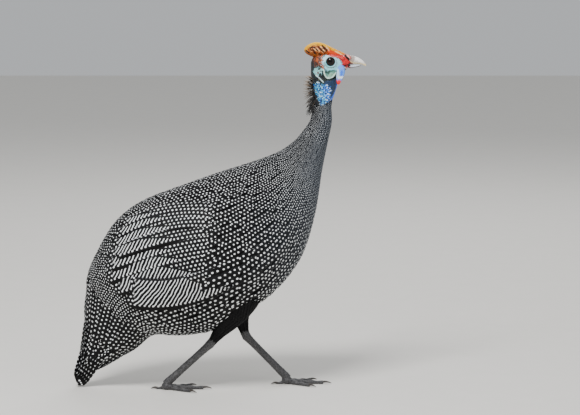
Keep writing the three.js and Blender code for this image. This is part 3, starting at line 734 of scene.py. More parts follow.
# The part of the flank where the long flight feathers lie bare, in the side view
BARE_WING = np.array([
    (-2, 208), (-40, 209), (-78, 202), (-106, 187), (-114, 172), (-118, 158), (-118, 144),
    (-115, 132), (-110, 122), (-100, 113), (-60, 113), (-36, 117), (-12, 126), (2, 136),
    (6, 150), (2, 172)], float)


def inside_outline(outline, x, z):
    """Tells which points of the side view lie inside a closed outline."""
    inside = np.zeros(np.shape(x), bool)
    for (ax, az), (bx, bz) in zip(outline, np.roll(outline, -1, 0)):
        crosses = (az > z) != (bz > z)
        reach = ax + (z - az) * (bx - ax) / (bz - az if bz != az else 1e-9)
        inside ^= crosses & (x < reach)
    return inside


def column_angles():
    """Angles of the columns at the widest station, closer over the back than the belly."""
    phi = np.linspace(0, 2 * math.pi, 721)
    step = np.linalg.norm(np.diff(body_points(np.full(phi.shape, 8.0), phi), axis=0), axis=1)
    middle = (phi[1:] + phi[:-1]) / 2
    wanted = np.interp(from_back(middle), *COLUMN_SPACING)
    travelled = np.concatenate([[0], np.cumsum(step / wanted)])
    return np.interp(np.linspace(0, travelled[-1], COLUMN_COUNT, endpoint=False), travelled, phi)


def coat_roots(draw):
    """Roots of the spotted feathers as station, angle, half width, step and angle from the
    back."""
    angles = column_angles()
    gaps = (np.roll(angles, -1) - np.roll(angles, 1)) % (2 * math.pi) / 2
    roots = []
    for number, (phi, gap) in enumerate(zip(angles, gaps)):
        belly = from_back(phi)
        t = np.linspace(np.interp(belly, *COLLAR) + draw.uniform(-0.12, 0.16), LAST_ROOT, 1400)
        path = on_grid(SURFACE, t, np.full(t.shape, phi))
        run = np.concatenate([[0], np.cumsum(np.linalg.norm(np.diff(path, axis=0), axis=1))])
        wide = stretch(t, np.full(t.shape, phi), 0, STEP) * gap
        closing = np.where(t > COAT_END, NARROWEST_ON_NECK, np.where(t < 7.5, NARROWEST_FEATHER, 0))
        sparse = wide < closing
        wide = np.where(sparse, wide * 2, wide)
        breast = np.interp(belly, [80, 130], [1.0, 0.66])
        row = wide / 2 * ROW_STRETCH * np.interp(t, [8.5, 10.5], [1, breast])
        row = np.clip(row, np.interp(t, *SHORTEST_ROW), LONGEST_ROW)
        odd = number % 2
        at = row[0] * (1 + odd)
        while at < run[-1]:
            k = min(np.searchsorted(run, at), len(t) - 1)
            if not (sparse[k] and odd):
                stray = draw.normal(0, 0.1) * gap * np.interp(t[k], [11.5, 13], [0.2, 1])
                roots.append((t[k], phi + stray, wide[k] / 2, 2 * row[k], belly))
            at += 2 * row[k]
    return np.array(roots)


def spotted_coat(material):
    """Body feathers from the neck to the rump, in pieces that each stay light."""
    draw = np.random.default_rng(4)
    roots = coat_roots(draw)
    place = on_grid(SURFACE, roots[:, 0], roots[:, 1])
    hidden = inside_outline(BARE_WING, place[:, 0], place[:, 2]) & (np.abs(place[:, 1]) > 25)
    station, phi, half, step, belly = roots[~hidden].T
    count = len(station)
    template = VaneTemplate(8, 5, tip=0.3)
    length = step * 2.4 * draw.uniform(0.93, 1.07, count)
    reach = length[:, None] * template.s
    t = station[:, None] - reach / stretch(station, phi, STEP, 0)[:, None]
    swing = np.tan(draw.normal(0, 0.05, count)) / np.maximum(stretch(station, phi, 0, STEP), 5)
    angle = phi[:, None] + reach * swing[:, None]
    rise = 0.16 * half * draw.uniform(0.85, 1.15, count)
    lift = rise[:, None] * (2.1 * template.s ** 0.9 - 1.2)
    radius = np.interp(half, *SPOT_RADIUS) * draw.uniform(0.9, 1.1, count)
    longer = np.interp(belly, [85, 120], [1.0, 1.25])
    front = np.interp(belly, [60, 150], [0.1, 0.85])
    grey = np.interp(station, [9.0, 12.0], [0, 1]) * front
    grey = np.maximum(grey, np.interp(station, [12.0, 13.4, 14.6, 15.4], [0, 0.12, 0.1, 0.03]))
    mark = np.stack([radius, radius * longer / ROW_STRETCH, grey], -1)
    thickness = 0.05 * half + 0.08
    crown = half ** 2 / 130 + 0.1 * half
    for name, (low, high) in COAT_ZONES.items():
        zone = (station >= low) & (station < high)
        piece = body_vanes(
            name, template, t[zone], angle[zone], lift[zone], 1.22 * half[zone], length[zone],
            thickness[zone], crown[zone], mark[zone], pitch=half[zone])
        finish_piece(piece, name, material)


# Long feathers of the wings and the tail

# The lower edge of each flight feather in the side view, as root, middle and tip,
# then its half width and how far from its tip the bars go
FLIGHT_FEATHERS = [
    ((0, 216), (-60, 214), (-112, 194), 8, 60),
    ((2, 206), (-60, 206), (-120, 181), 9, 76),
    ((4, 198), (-60, 194), (-124, 168), 9.5, 84),
    ((6, 192), (-60, 180), (-128, 155), 10, 90),
    ((8, 182), (-60, 169), (-130, 143), 10, 88),
    ((12, 170), (-60, 156), (-128, 130), 12, 98),
    ((18, 154), (-52, 139), (-121, 117), 14, 104),
    ((20, 132), (-44, 108), (-112, 107), 20, 122),
]
FIRST_ROW = 5.2  # from a flight feather's lower edge to its lowest row of dots


def wing_feathers(material):
    """Secondaries and tertials of both wings: each upper vane laps the one below it."""
    template = VaneTemplate(18, 7, tip=0.08, root=0.8)
    s = template.s[:, None]
    edges = []
    for *stops, half, bars in FLIGHT_FEATHERS:
        a, b, c = np.array(stops, float)
        edge = a * (1 - s) * (1 - 2 * s) + b * 4 * s * (1 - s) + c * s * (2 * s - 1)
        run = unit(np.gradient(edge, axis=0))
        edges.append(edge + np.stack([run[:, 1], -run[:, 0]], -1) * half)
    paths = np.array(edges)
    t, phi = flank_place(paths[..., 0], paths[..., 1])
    count = len(FLIGHT_FEATHERS)
    half, bars = np.array([feather[3:] for feather in FLIGHT_FEATHERS], float).T
    length = np.linalg.norm(np.diff(paths, axis=1), axis=-1).sum(1)
    order = np.linspace(1, 0, count)[:, None]
    lift = -1.0 + 1.5 * np.minimum(1, template.s[None] * 3) + 0.9 * order
    mark = np.stack([half * 2 - 3, np.full(count, FIRST_ROW), bars], -1)
    for name, sign in (("right", -1), ("left", 1)):
        angle = phi if sign > 0 else 2 * math.pi - phi
        piece = body_vanes(
            "flight_" + name, template, t, angle, lift, half, length, np.full(count, 0.45),
            np.full(count, 0.9), mark, edge_side=np.full(count, float(sign)))
        finish_piece(piece, "flight_" + name, material, ["wing_" + name])


# Tiers of tail feathers as the stations and angles from first to last, the number
# a side, the half width and the lift
TAIL_TIERS = [
    (3.4, 0.02, 6, 100, 6, 8.0, -0.8),
    (3.4, 1.1, 108, 172, 4, 8.0, -0.8),
    (3.9, 1.0, 4, 172, 8, 8.5, 0.0),
    (4.3, 2.1, 10, 176, 9, 8.5, 0.8),
]


def tail_feathers(material):
    """Tail feathers under tiers of long coverts, mirrored from side to side."""
    template = VaneTemplate(12, 7, tip=0.16, root=0.6)
    rows = []
    for start, end, first, last, number, half, lift in TAIL_TIERS:
        for angle in np.linspace(first, last, number):
            turn = 14 if end < 1 else 6
            for sign in (-1, 1):
                rows.append((start, end, sign * math.radians(angle),
                             sign * math.radians(angle + turn), half, lift))
    start, end, phi, to, half, lift = np.array(rows).T
    s = template.s[None]
    t = start[:, None] + (end - start)[:, None] * s
    angle = phi[:, None] + (to - phi)[:, None] * s
    height = lift[:, None] - 1.5 * (1 - np.minimum(1, s * 2.2)) + 0.4 * s
    length = np.linalg.norm(on_grid(SURFACE, start, phi) - on_grid(SURFACE, end, to), axis=-1)
    count = len(rows)
    widest = SPOT_RADIUS[1][-1]
    mark = np.tile([widest, widest / ROW_STRETCH, 0.0], (count, 1))
    piece = body_vanes("tail_feathers", template, t, angle, height, half, length,
                       np.full(count, 0.5), np.full(count, 0.8), mark, pitch=np.full(count, 5.2))
    finish_piece(piece, "tail_feathers", material, ["tail"])


# Skin, made large about the head while it is meshed, so that the head is the finest

SKIN_END = 17.6  # the station where the neck's skin ends inside the head
COAT_DEPTH = ([0, 3, 12, 14, 15.4, 16], [2.6, 3.6, 3.0, 1.4, 0.8, 0])  # by station, in mm
HEAD_PIVOT = np.array([124.0, 0.0, 335.0])
HEAD_ENLARGED = 3.0


def enlargement(z):
    """How many times larger the head is meshed, growing smoothly up the neck."""
    share = share_between(z, 322, 352)
    return 1 + (HEAD_ENLARGED - 1) * share ** 2 * (3 - 2 * share)


def enlarge(points):
    return HEAD_PIVOT + (points - HEAD_PIVOT) * enlargement(points[:, 2])[:, None]


def restore(points):
    """Brings enlarged points back to their own size."""
    z = np.linspace(-30, 440, 4000)
    moved = HEAD_PIVOT[2] + (z - HEAD_PIVOT[2]) * enlargement(z)
    before = np.interp(points[:, 2], moved, z)
    return HEAD_PIVOT + (points - HEAD_PIVOT) / enlargement(before)[:, None]


def body_shell():
    """The smooth body under the coat, closed at the tail and inside the head."""
    t = np.concatenate([np.linspace(0.25, 12, 80), np.linspace(12.1, SKIN_END, 60)])
    phi = np.linspace(0, 2 * math.pi, 72, endpoint=False)
    grid_t, grid_phi = np.meshgrid(t, phi, indexing="ij")
    inset = np.interp(grid_t, *COAT_DEPTH)
    points = body_points(grid_t, grid_phi)
    around = body_points(grid_t, grid_phi + STEP) - body_points(grid_t, grid_phi - STEP)
    along = body_points(grid_t + STEP, grid_phi) - body_points(grid_t - STEP, grid_phi)
    points = points - unit(np.cross(along, around)) * inset[..., None]
    index = np.arange(t.size * phi.size).reshape(t.size, phi.size)
    onward = np.roll(index, -1, 1)
    quads = np.stack([index[:-1], index[1:], onward[1:], onward[:-1]], -1).reshape(-1, 4)
    mark = np.zeros((index.size, 3))
    shell = mesh_from_arrays("shell", points.reshape(-1, 3), quads, {}, mark)
    close_surface(shell)
    return shell


EYE = (132.8, 8.6, 395.6)
EYE_RADIUS = 6.6


def arc(centre, radius, first, last, steps=8):
    """Part of a circle on the side view, between two angles in degrees."""
    angles = np.radians(np.linspace(first, last, steps))
    return [(centre[0] + radius * math.cos(a), centre[1] + radius * math.sin(a)) for a in angles]


EYE_VIEW = (EYE[0], EYE[2])
CHEEK_FOLD = [(124.6, 386), (125.6, 380.5), (128.6, 376.2), (132.5, 376), (136.5, 378.3), (139, 382)]
CHEEK_GROOVE = [(123.4, 384), (124, 379), (127.4, 374.4), (132.8, 373.6), (138, 376.4), (140.4, 382)]
NOSTRIL = [(150.4, 402), (154.8, 397.8)]
BROW = [(130.5, 404.4), (137, 403), (143, 401), (147.4, 397)]
# Folds of the bare skin as height, radius and path on the side view
SKIN_FOLDS = [
    (0.9, 1.7, CHEEK_FOLD),
    (-1.1, 1.3, CHEEK_GROOVE),
    (-0.6, 1.2, [(127, 383), (130.5, 382), (136, 384.4)]),
    (0.8, 1.2, [(115.5, 379), (119.5, 375.6), (124.2, 371)]),
    (-0.7, 1.0, [(119, 380), (122.5, 376.6), (126.6, 372.6)]),
    (0.5, 2.6, [(118.6, 384)]),
    (-1.5, 1.5, [(120.6, 380.8)]),
    (0.6, 1.0, [(117.4, 386.6), (115.6, 383.6), (117, 380.6)]),
    (0.9, 1.7, BROW),
    (0.7, 1.3, [(148, 402.6), (153, 403), (156.6, 399.6), (155.6, 395.6)]),
    (-1.5, 1.0, NOSTRIL),
    (-0.7, 0.9, [(148.6, 390.4), (156, 391.4)]),
    (0.45, 0.8, arc(EYE_VIEW, 6.4, 0, 360, 20)),
    (-0.45, 0.8, arc(EYE_VIEW, 8.0, 195, 320)),
    (-0.3, 0.8, arc(EYE_VIEW, 8.4, 30, 150)),
    (0.5, 1.4, [(146, 392), (148, 386)]),
    (0.6, 1.2, [(116, 370), (119.5, 366)]),
]
# Patches of the skin's colours, with painted shade in its folds, grooves and holes and painted
# highlights on its ridges, as colour, radius and path on the side view
NECK_SIDE = [
    ("38a8cc", 4.2, [(117.5, 366), (119, 360)]),
    ("38a8cc", 3.4, [(124.5, 364.6), (124, 356)]),
    ("2484ea", 4.4, [(128, 362.8), (128.4, 351)]),
    ("48aed6", 4.4, [(121, 357), (124, 348)]),
]
SKIN_STROKES = [
    ("0d1c22", 5.0, [(112, 392), (111, 378), (113, 366)]),
    ("6a2c06", 5.6, [(115.5, 403), (118, 397), (119, 392)]),
    ("b45208", 1.3, [(122.4, 403), (122.6, 393), (124, 388)]),
    ("b4500e", 1.2, [(117.5, 401), (116.5, 396)]),
    ("2b130a", 1.0, [(113.6, 400.6)]),
    ("2b130a", 0.9, [(115, 394.4), (117, 392)]),
    ("35180c", 0.8, [(119.6, 398.6)]),
    ("35180c", 0.8, [(118.8, 404), (120.6, 402.6)]),
    ("8edcec", 8.4, [(132, 396)]),
    ("96e0ec", 5.6, [(140.6, 393.6), (142.4, 388.6)]),
    ("8ad8e2", 4.4, [(129.6, 389.4), (138, 388.8)]),
    ("ccf2fa", 2.4, [(126, 398), (129.5, 402.2), (135, 401.6)]),
    ("a6d6df", 1.5, arc(EYE_VIEW, 6.8, 300, 400)),
    # Painted shade: a darker grey-green crescent in the crease under the lower lid.
    ("7fb3b4", 0.9, arc(EYE_VIEW, 7.4, 200, 300)),
    ("bc0006", 2.0, BROW),
    ("cc0206", 3.6, [(147.6, 401), (152.4, 401), (154, 397.6), (150.4, 394.6)]),
    # Painted highlight: a pale pink streak along the top of the raised red brow.
    ("d8584c", 0.5, [(133.5, 403), (141, 401), (148, 399.2)]),
    ("f0a79a", 0.8, [(148.4, 402), (152.4, 402.4), (155.8, 399)]),
    ("c80404", 1.5, [(146.2, 390.4), (149.6, 392.6)]),
    ("b80402", 1.6, [(152.6, 388.6), (155, 388)]),
    ("e9c6bd", 0.7, [(149.8, 388.4), (151.4, 387)]),
    # Painted shade: the nostril slot is near black for the shade inside it.
    ("0c0304", 1.25, NOSTRIL),
    # Painted shade: a mid green darkening the hollow inside the cheek fold.
    ("5c9484", 3.6, [(128.6, 380), (132, 379.4), (136.4, 381.4)]),
    ("8fbca4", 1.8, [(131, 378.6), (135.6, 380.6)]),
    # Painted shade: a dark green crescent and a dark green line in the groove inside the cheek fold.
    ("1c4640", 0.9, [(126.8, 382.8), (130.4, 381.6)]),
    ("2c6258", 0.7, [(131, 384.8), (137.4, 384.6)]),
    ("d2eadb", 0.8, CHEEK_FOLD),
    ("96dadc", 5.0, [(118.6, 384)]),
    ("86c6c9", 1.2, arc((118.6, 383.6), 4.6, 100, 260)),
    ("6b1714", 1.2, [(117.8, 382)]),
    # Painted shade: near black in the sunk ear opening.
    ("140c0d", 1.2, [(120.8, 380.6)]),
    ("2c1214", 0.9, [(118.6, 386.6), (120, 387)]),
    ("4a1a16", 0.8, [(121.4, 384)]),
    # Painted shadow: a near black green under the cheek fold, and the throat's blue skin darkened to
    # navy down its front under the head.
    ("08201f", 4.2, [(121, 371.5), (127, 369.6)]),
    ("012c50", 4.6, [(130, 370), (136, 370.4), (137.4, 362), (135.4, 355)]),
    # Painted shade: a near black line in the groove under the cheek fold.
    ("0b1c1a", 0.8, CHEEK_GROOVE),
    ("c2dcdd", 0.7, [(115.5, 379), (119.5, 375.6), (124.2, 371)]),
    # Painted shade: a near black line in the groove above the white crescent ridge.
    ("0a1615", 0.9, [(119.4, 380), (122.6, 376.8), (126.8, 372.8)]),
    # Painted highlight: a brighter blue edge down the front of the throat.
    ("0a66ec", 1.4, [(141.4, 367), (140.2, 361), (137.2, 355), (134, 350.6)]),
]


BARE_FROM = 338  # height where the bare skin starts to be lumpy
# Dark blue spots on the neck's bare skin, and white painted highlights on it, each a colour and the
# grain values where it starts and where it is full
NECK_SPOTS_AND_HIGHLIGHTS = [("0c5ccc", -0.02, -0.14), ("082542", -0.18, -0.3), ("e6f6ff", 0.28, 0.38)]
CREST_STAIN = "241008"


def meshed_skin():
    """The body, head and thighs as one even mesh, finest at the head."""
    flesh = copied_mesh(["head", "thigh_left", "thigh_right"], "flesh")
    piece = join_pieces([body_shell(), flesh])
    points, _ = read_points(piece.data)
    write_points(piece.data, enlarge(points))
    apply_modifier(piece, "REMESH", mode="VOXEL", voxel_size=1.3 * MM)
    apply_modifier(piece, "SMOOTH", factor=0.5, iterations=5)
    points, _ = read_points(piece.data)
    points = restore(points)
    write_points(piece.data, points)
    group = piece.vertex_groups.new(name="feathered")
    group.add(np.nonzero(points[:, 2] < BARE_FROM - 3)[0].tolist(), 1.0, "REPLACE")
    apply_modifier(piece, "DECIMATE", ratio=0.4, vertex_group="feathered")
    return piece


def skin_piece(material):
    """One skin under the whole coat, bare on the head and upper neck."""
    piece = meshed_skin()
    sculpt(piece, SKIN_FOLDS)
    points, normals = read_points(piece.data)
    bare = np.nonzero(points[:, 2] > BARE_FROM)[0]
    lumps = np.zeros(len(points))
    on_neck = share_between(points[bare, 2], 372, 366)
    lumps[bare] = grain_of(points[bare], 1.7) * (0.08 + 0.22 * on_neck)
    write_points(piece.data, points + normals * lumps[:, None])
    points, shade = paint(piece, "101318", SKIN_STROKES)
    _, neck_shade = paint(piece, "000000", NECK_SIDE)
    cover = np.clip(neck_shade[:, :3].sum(1) * 4, 0, 1)[:, None]
    # Dark blue spots and white painted highlights laid over the neck's blues
    spot_and_highlight_grain = grain_of(points, 1.6, 7.0)
    for code, none, whole in NECK_SPOTS_AND_HIGHLIGHTS:
        neck_shade = tint(neck_shade, code, share_between(spot_and_highlight_grain, none, whole))
    shade = shade * (1 - cover) + neck_shade * cover
    patchy = 1 + 0.16 * grain_of(points, 2.6, 5.0) + 0.1 * grain_of(points, 0.9, 6.0)
    shade[:, :3] *= patchy[:, None]
    crest = (points[:, 0] < 124) & (points[:, 2] > 387.5)
    spots = share_between(grain_of(points, 1.9, 2.0), 0.08, 0.23) * crest
    keep_paint(piece, tint(shade, CREST_STAIN, spots * 0.85))
    replaced = ["torso", "neck", "head", "thigh_left", "thigh_right"]
    finish_piece(piece, "skin", material, replaced)


# The head's horn, eyes and wattles

# Sections of the horn as x, top, bottom and half width, then the paint strokes over them, among them
# painted highlights along the ridge and near the front
CASQUE = [
    (101.3, 410, 407, 1.2), (104, 413.6, 403.4, 4), (110, 417, 400.5, 6.6), (116, 418.4, 399, 7.6),
    (124, 417, 399, 7.8), (132, 413, 399, 7), (140, 409, 399, 5.6), (148, 405.5, 399, 4),
    (151, 403.6, 399.6, 2.6)]
UPPER_BILL = [
    (153, 402.6, 391.4, 6), (158, 402.2, 391.6, 5.6), (164, 400.6, 392.2, 4.7),
    (169.5, 397.5, 391.8, 3.3), (173.4, 394.2, 389.6, 1.9), (175.6, 390.8, 388.6, 0.7)]
LOWER_BILL = [
    (153, 391, 386.2, 5.2), (159, 391.2, 386.8, 4.6), (165, 391.8, 388.2, 3.5),
    (169.5, 391.4, 389.4, 1.8)]
CASQUE_STROKES = [
    ("8f4a14", 2.4, [(104, 407), (110, 404.4), (118, 403)]),
    ("dea000", 3.4, [(102, 411), (106, 415), (115, 418), (125, 416.4), (133, 412.4), (141, 408.4)]),
    # Painted highlight: a paler yellow line along the top of the ridge.
    ("f0b800", 1.7, [(106, 416), (115, 418.6), (124, 417.2), (131, 414)]),
    ("d03c04", 2.2, [(131, 407), (138, 405), (145, 403.6)]),
    ("de8600", 1.5, [(141, 408.6), (149, 404.8)]),
    # Painted highlight: a pale streak along the front of the helmet.
    ("f0b878", 0.8, [(138.5, 407), (142.4, 405.4), (148, 402)]),
    ("f0b078", 0.6, [(112.6, 411), (115, 408)]),
    ("f0b078", 0.6, [(116.4, 411.6), (119.8, 407.4)]),
    ("f5bd86", 0.6, [(121.2, 412.8), (126, 407.2)]),
    ("f5bd86", 0.6, [(127.6, 412.6), (131, 408.6)]),
]
CASQUE_SLASHES = [
    [(108.6, 410.6), (110.8, 412.4), (113.6, 411.6)],
    [(109.4, 408), (112, 409.4), (113.4, 408)],
    [(114.4, 411.6), (118, 406.6)],
    [(118.6, 412.6), (124, 406.8)],
    [(123.2, 414), (125.6, 411)],
    [(113, 406.6), (115.4, 404.4)],
    [(126.4, 411.2), (128.4, 407.8)],
    [(103.4, 408.4), (107, 405.4)],
    [(119.4, 404.6), (121.6, 403)],
]


def sections(rows):
    """Rings for a loft along the head, from rows of x, top, bottom and half width."""
    return [((x, 0, (top + low) / 2), (1, half, (top - low) / 2)) for x, top, low, half in rows]


def casque(material):
    """The horny helmet: a ridge of bright horn over slashed, rough sides."""
    piece = lofted("casque", sections(CASQUE), sides=20, levels=4)
    points, _ = read_points(piece.data)
    x, top, low, _ = np.array(CASQUE).T
    top, low = np.interp(points[:, 0], x, top), np.interp(points[:, 0], x, low)
    height = share_between(points[:, 2], low, top)
    points[:, 1] *= 1 - 0.42 * np.clip(height - 0.4, 0, 1)
    write_points(piece.data, points)
    sculpt(piece, [(-0.5, 0.9, path) for path in CASQUE_SLASHES])
    points, normals = read_points(piece.data)
    streaks = grain_of(points * [0.5, 0.5, 1.2], 1.0, 3.0) * 0.14
    write_points(piece.data, points + normals * streaks[:, None])
    strokes = CASQUE_STROKES + [("1c0b04", 0.8, path) for path in CASQUE_SLASHES]
    points, shade = paint(piece, "8a3a02", strokes, wobble=0.9, size=1.1)
    x, y, z = points.T
    streak = grain_of(np.stack([x - z, (x + z) * 4, y], -1), 5.0, 4.0)
    rough_side = np.clip(1.4 - stroke_distance(points, [(110, 408.6), (128, 408.4)]) / 4.6, 0, 1)
    for code, none, whole in (("1c0b04", 0.16, 0.3), ("e09a5c", -0.26, -0.4)):
        shade = tint(shade, code, share_between(streak, none, whole) * rough_side * 0.8)
    keep_paint(piece, shade)
    finish_piece(piece, "helmet", material, ["casque"])


UPPER_BILL_STROKES = [
    ("9c8880", 3.4, [(155.6, 402), (157, 394)]),
    ("a89c96", 1.4, [(160.6, 402), (160, 396)]),
    ("8f857c", 0.9, [(158, 403), (166, 400.6), (172, 396.6)]),
    ("fcf9f5", 2.4, [(164.6, 398.6), (170, 396)]),
    ("f0ddae", 1.5, [(174, 391)]),
    ("f2dca6", 0.8, [(157, 394.4), (163, 393), (170, 391.8), (174.5, 390.6)]),
    ("8e3a22", 1.5, [(153, 395), (158, 392.4)]),
]
LOWER_BILL_STROKES = [
    ("4f443e", 0.9, [(155, 387), (162, 387.6), (169, 389.4)]),
    ("8a2a1c", 2.2, [(153.6, 389)]),
]


def bill(material):
    for half, rows, sides, levels, ground, strokes in (
            ("upper", UPPER_BILL, 20, 3, "dcd5cf", UPPER_BILL_STROKES),
            ("lower", LOWER_BILL, 18, 2, "c6ced9", LOWER_BILL_STROKES)):
        piece = lofted("bill_" + half, sections(rows), sides=sides, levels=levels)
        _, shade = paint(piece, ground, strokes)
        keep_paint(piece, shade)
        finish_piece(piece, half + "_bill", material, ["bill_" + half])


# Sections of a wattle as height, x, half length, half thickness and distance from the middle
WATTLE = [
    (392, 145, 2.6, 2.2, 8.6), (387, 145.4, 5, 2, 10.6), (382, 145, 5.2, 1.7, 12),
    (376, 143.5, 4.2, 1.4, 12.6), (371, 142.5, 2.6, 1.1, 12.4), (368, 142, 1, 0.6, 12)]
# Folds and paint strokes, in the same form as the head's
WATTLE_FOLDS = [
    (0.4, 1.0, [(148, 388), (148.4, 381), (146, 375)]),
    (-0.35, 0.9, [(144, 386), (143.6, 379)]),
    (0.3, 1.0, [(141.4, 384), (141, 377)]),
]
WATTLE_STROKES = [
    ("bcd8f2", 2.0, [(141, 385), (142, 377)]),
    ("2c70ec", 1.4, [(146, 384), (145.6, 379)]),
    ("eef6fa", 1.4, [(143, 376.6), (146, 377)]),
    ("ee0c00", 3.6, [(142.6, 370.4)]),
]


def wattles_and_eyes(skin, eye):
    """On each side a blue wattle with a red tip, and an eye set into the lids."""
    for name, side in (("right", -1), ("left", 1)):
        rings = [((x, side * y, z), (long, thick, 1)) for z, x, long, thick, y in WATTLE]
        piece = lofted("wattle_" + name, rings, axis="Z", sides=16, levels=2)
        sculpt(piece, WATTLE_FOLDS)
        _, shade = paint(piece, "5a96f0", WATTLE_STROKES)
        keep_paint(piece, shade)
        finish_piece(piece, name + "_wattle", skin, ["wattle_" + name])
        at = Vector((EYE[0], side * EYE[1], EYE[2])) * MM
        bpy.ops.mesh.primitive_uv_sphere_add(
            segments=48, ring_count=24, radius=EYE_RADIUS * MM, location=at,
            rotation=(math.pi / 2, 0, 0))
        ball = bpy.context.active_object
        bpy.ops.object.transform_apply(location=True, rotation=True, scale=True)
        smooth_shaded(ball)
        finish_piece(ball, name + "_eye", eye, ["eye_" + name])


BRISTLES = 230
BRISTLE_RINGS = 6
BRISTLE_CORNERS = 4
BRISTLE_RADIUS = 0.3


def nape_bristles(material):
    """Bristles down the back of the neck: the upper ones stand up and back, the lower hang."""
    draw = np.random.default_rng(9)
    t = draw.uniform(14.8, 17.4, BRISTLES)
    phi = draw.normal(0, 0.42, BRISTLES)
    root = body_points(t, phi)
    out = unit(root - body_points(t, phi + math.pi))
    high = share_between(t, 15.6, 17.2)[:, None]
    aim = out * (0.8 + 0.3 * high) + np.array([-0.35, 0, 0])
    aim += np.array([0, 0, 1]) * (high * 1.5 - 0.9)
    aim = unit(aim + draw.normal(0, 0.22, aim.shape))
    length = draw.uniform(5, 13, BRISTLES) * np.interp(t, [14.8, 15.2, 17, 17.4], [0.6, 1, 1, 0.7])
    s = np.linspace(0, 1, BRISTLE_RINGS)
    droop = np.array([-0.1, 0, -1.0]) * (1 - high) * 0.3
    bend = aim[:, None] * s[None, :, None] + droop[:, None] * s[None, :, None] ** 2
    path = root[:, None] + bend * length[:, None, None]
    ahead = unit(np.gradient(path, axis=1))
    side = unit(np.cross(ahead, np.array([0.3, 0.2, 1.0])))
    up = np.cross(side, ahead)
    corners = (math.pi / 4 + np.arange(BRISTLE_CORNERS) * math.pi / 2)[:, None]
    ring = side[:, :, None] * np.cos(corners) + up[:, :, None] * np.sin(corners)
    radius = BRISTLE_RADIUS * (1 - s) ** 0.7 + 0.04
    points = path[:, :, None] + ring * radius[None, :, None, None]

    size = BRISTLE_RINGS * BRISTLE_CORNERS
    index = np.arange(size).reshape(BRISTLE_RINGS, BRISTLE_CORNERS)
    onward = np.roll(index, -1, 1)
    walls = np.stack([index[:-1], onward[:-1], onward[1:], index[1:]], -1).reshape(-1, 4)
    one = np.concatenate([walls, [index[0][::-1]], [index[-1]]])
    quads = (one[None] + (np.arange(BRISTLES) * size)[:, None, None]).reshape(-1, 4)
    mark = np.zeros((BRISTLES, BRISTLE_RINGS, BRISTLE_CORNERS, 3))
    pale = share_between(s, 0.45, 0.85)[None] * high * draw.uniform(0.3, 1, (BRISTLES, 1))
    mark[..., 0] = pale[..., None]
    patch = np.stack([0.5 + phi / 4, (t - 14) / 3.5], -1)[:, None] * 0.97 + 0.01
    width = PATCH / 2
    place = np.stack([np.tile([0, width, width, 0], BRISTLE_RINGS),
                      np.repeat(s, BRISTLE_CORNERS) * width], -1)[None]
    baked = (patch + place)[:, one].reshape(-1, 2)
    piece = mesh_from_arrays("nape_bristles", points.reshape(-1, 3), quads, {"OFBake": baked},
                             mark.reshape(-1, 3))
    close_surface(piece)
    finish_piece(piece, "nape_bristles", material)


# Legs

TARSUS = 72
TOE_JOINT_HEIGHT = 8
LEGS = {
    "right": {"side": -1, "y": -17, "ankle": (-10.5, 56.4), "knee": (27, 109), "stride": -1},
    "left": {"side": 1, "y": 18, "ankle": (30.6, 59.6), "knee": (16, 114), "stride": 1},
}
# The thigh's radius by the share of its length from the cuff up to the knee
THIGH_RADIUS = ([-0.12, 0, 0.18, 0.45, 0.75, 1], [4.6, 5.4, 7.8, 12.8, 17, 18])
THIGH_ROW = 3.4
THIGH_FEATHER_LENGTH = 9.5
THIGH_FEATHER_HALF = 2.9
# Toes as the angle from straight ahead, the length and the radius, then the claws'
# places along and above each tip, with their radii
TOES = [(34, 33, 3.0), (2, 44, 3.3), (-32, 34, 3.0), (168, 13, 2.2)]
CLAW = [(-0.2, 0.2, 1.5), (0.2, 0.75, 1.35), (0.5, 0.7, 1.1), (0.85, 0.1, 0.75),
        (1.05, -0.5, 0.5), (1.2, -0.9, 0.25)]
TOE_STEPS = 26
SCUTE_LENGTH = 4.2  # from one big scale down the shank's front to the next
TOE_SCALE_LENGTH = 2.6


def heel_and_knee(leg):
    x, z = leg["ankle"]
    knee_x, knee_z = leg["knee"]
    return Vector((x, leg["y"], z)), Vector((knee_x, leg["y"] * 1.5, knee_z))


def thigh_feathers(material):
    """Small, plain black feathers down both thighs to a loose cuff above the heel."""
    draw = np.random.default_rng(6)
    template = VaneTemplate(7, 5, tip=0.35)
    centre, up, root = [], [], []
    for name, leg in LEGS.items():
        heel, knee = (np.array(place) for place in heel_and_knee(leg))
        axis = unit(knee - heel)
        cuff = heel + axis * 7
        whole = np.linalg.norm(knee - cuff)
        side = unit(np.cross(axis, [0, 1, 0]))
        across = np.cross(axis, side)
        for row, along in enumerate(np.arange(4.0, whole + 14, THIGH_ROW)):
            number = int(np.interp(along / whole, *THIGH_RADIUS) * 2 * math.pi / 4.4)
            for k in range(number):
                turn = (k + 0.5 * (row % 2)) * 2 * math.pi / number + draw.normal(0, 0.03)
                out = side * math.cos(turn) + across * math.sin(turn) * 0.85
                reach = along - template.s * THIGH_FEATHER_LENGTH
                height = np.interp(reach / whole, *THIGH_RADIUS) + 0.9 * template.s - 0.3
                centre.append(cuff + axis * reach[:, None] + out * height[:, None])
                up.append(np.tile(unit(out), (len(template.s), 1)))
                root.append((turn + (7 if name == "left" else 0), along))
    count = len(root)
    half = np.full(count, THIGH_FEATHER_HALF)
    mark = np.tile([0.001, 0.001, 0.0], (count, 1))
    piece = vane_mesh("thigh_feathers", template, np.array(centre), np.array(up), np.array(root),
                      half, np.full(count, THIGH_FEATHER_LENGTH), np.full(count, 0.25),
                      np.full(count, 0.4), mark, pitch=half)
    finish_piece(piece, "thigh_feathers", material)


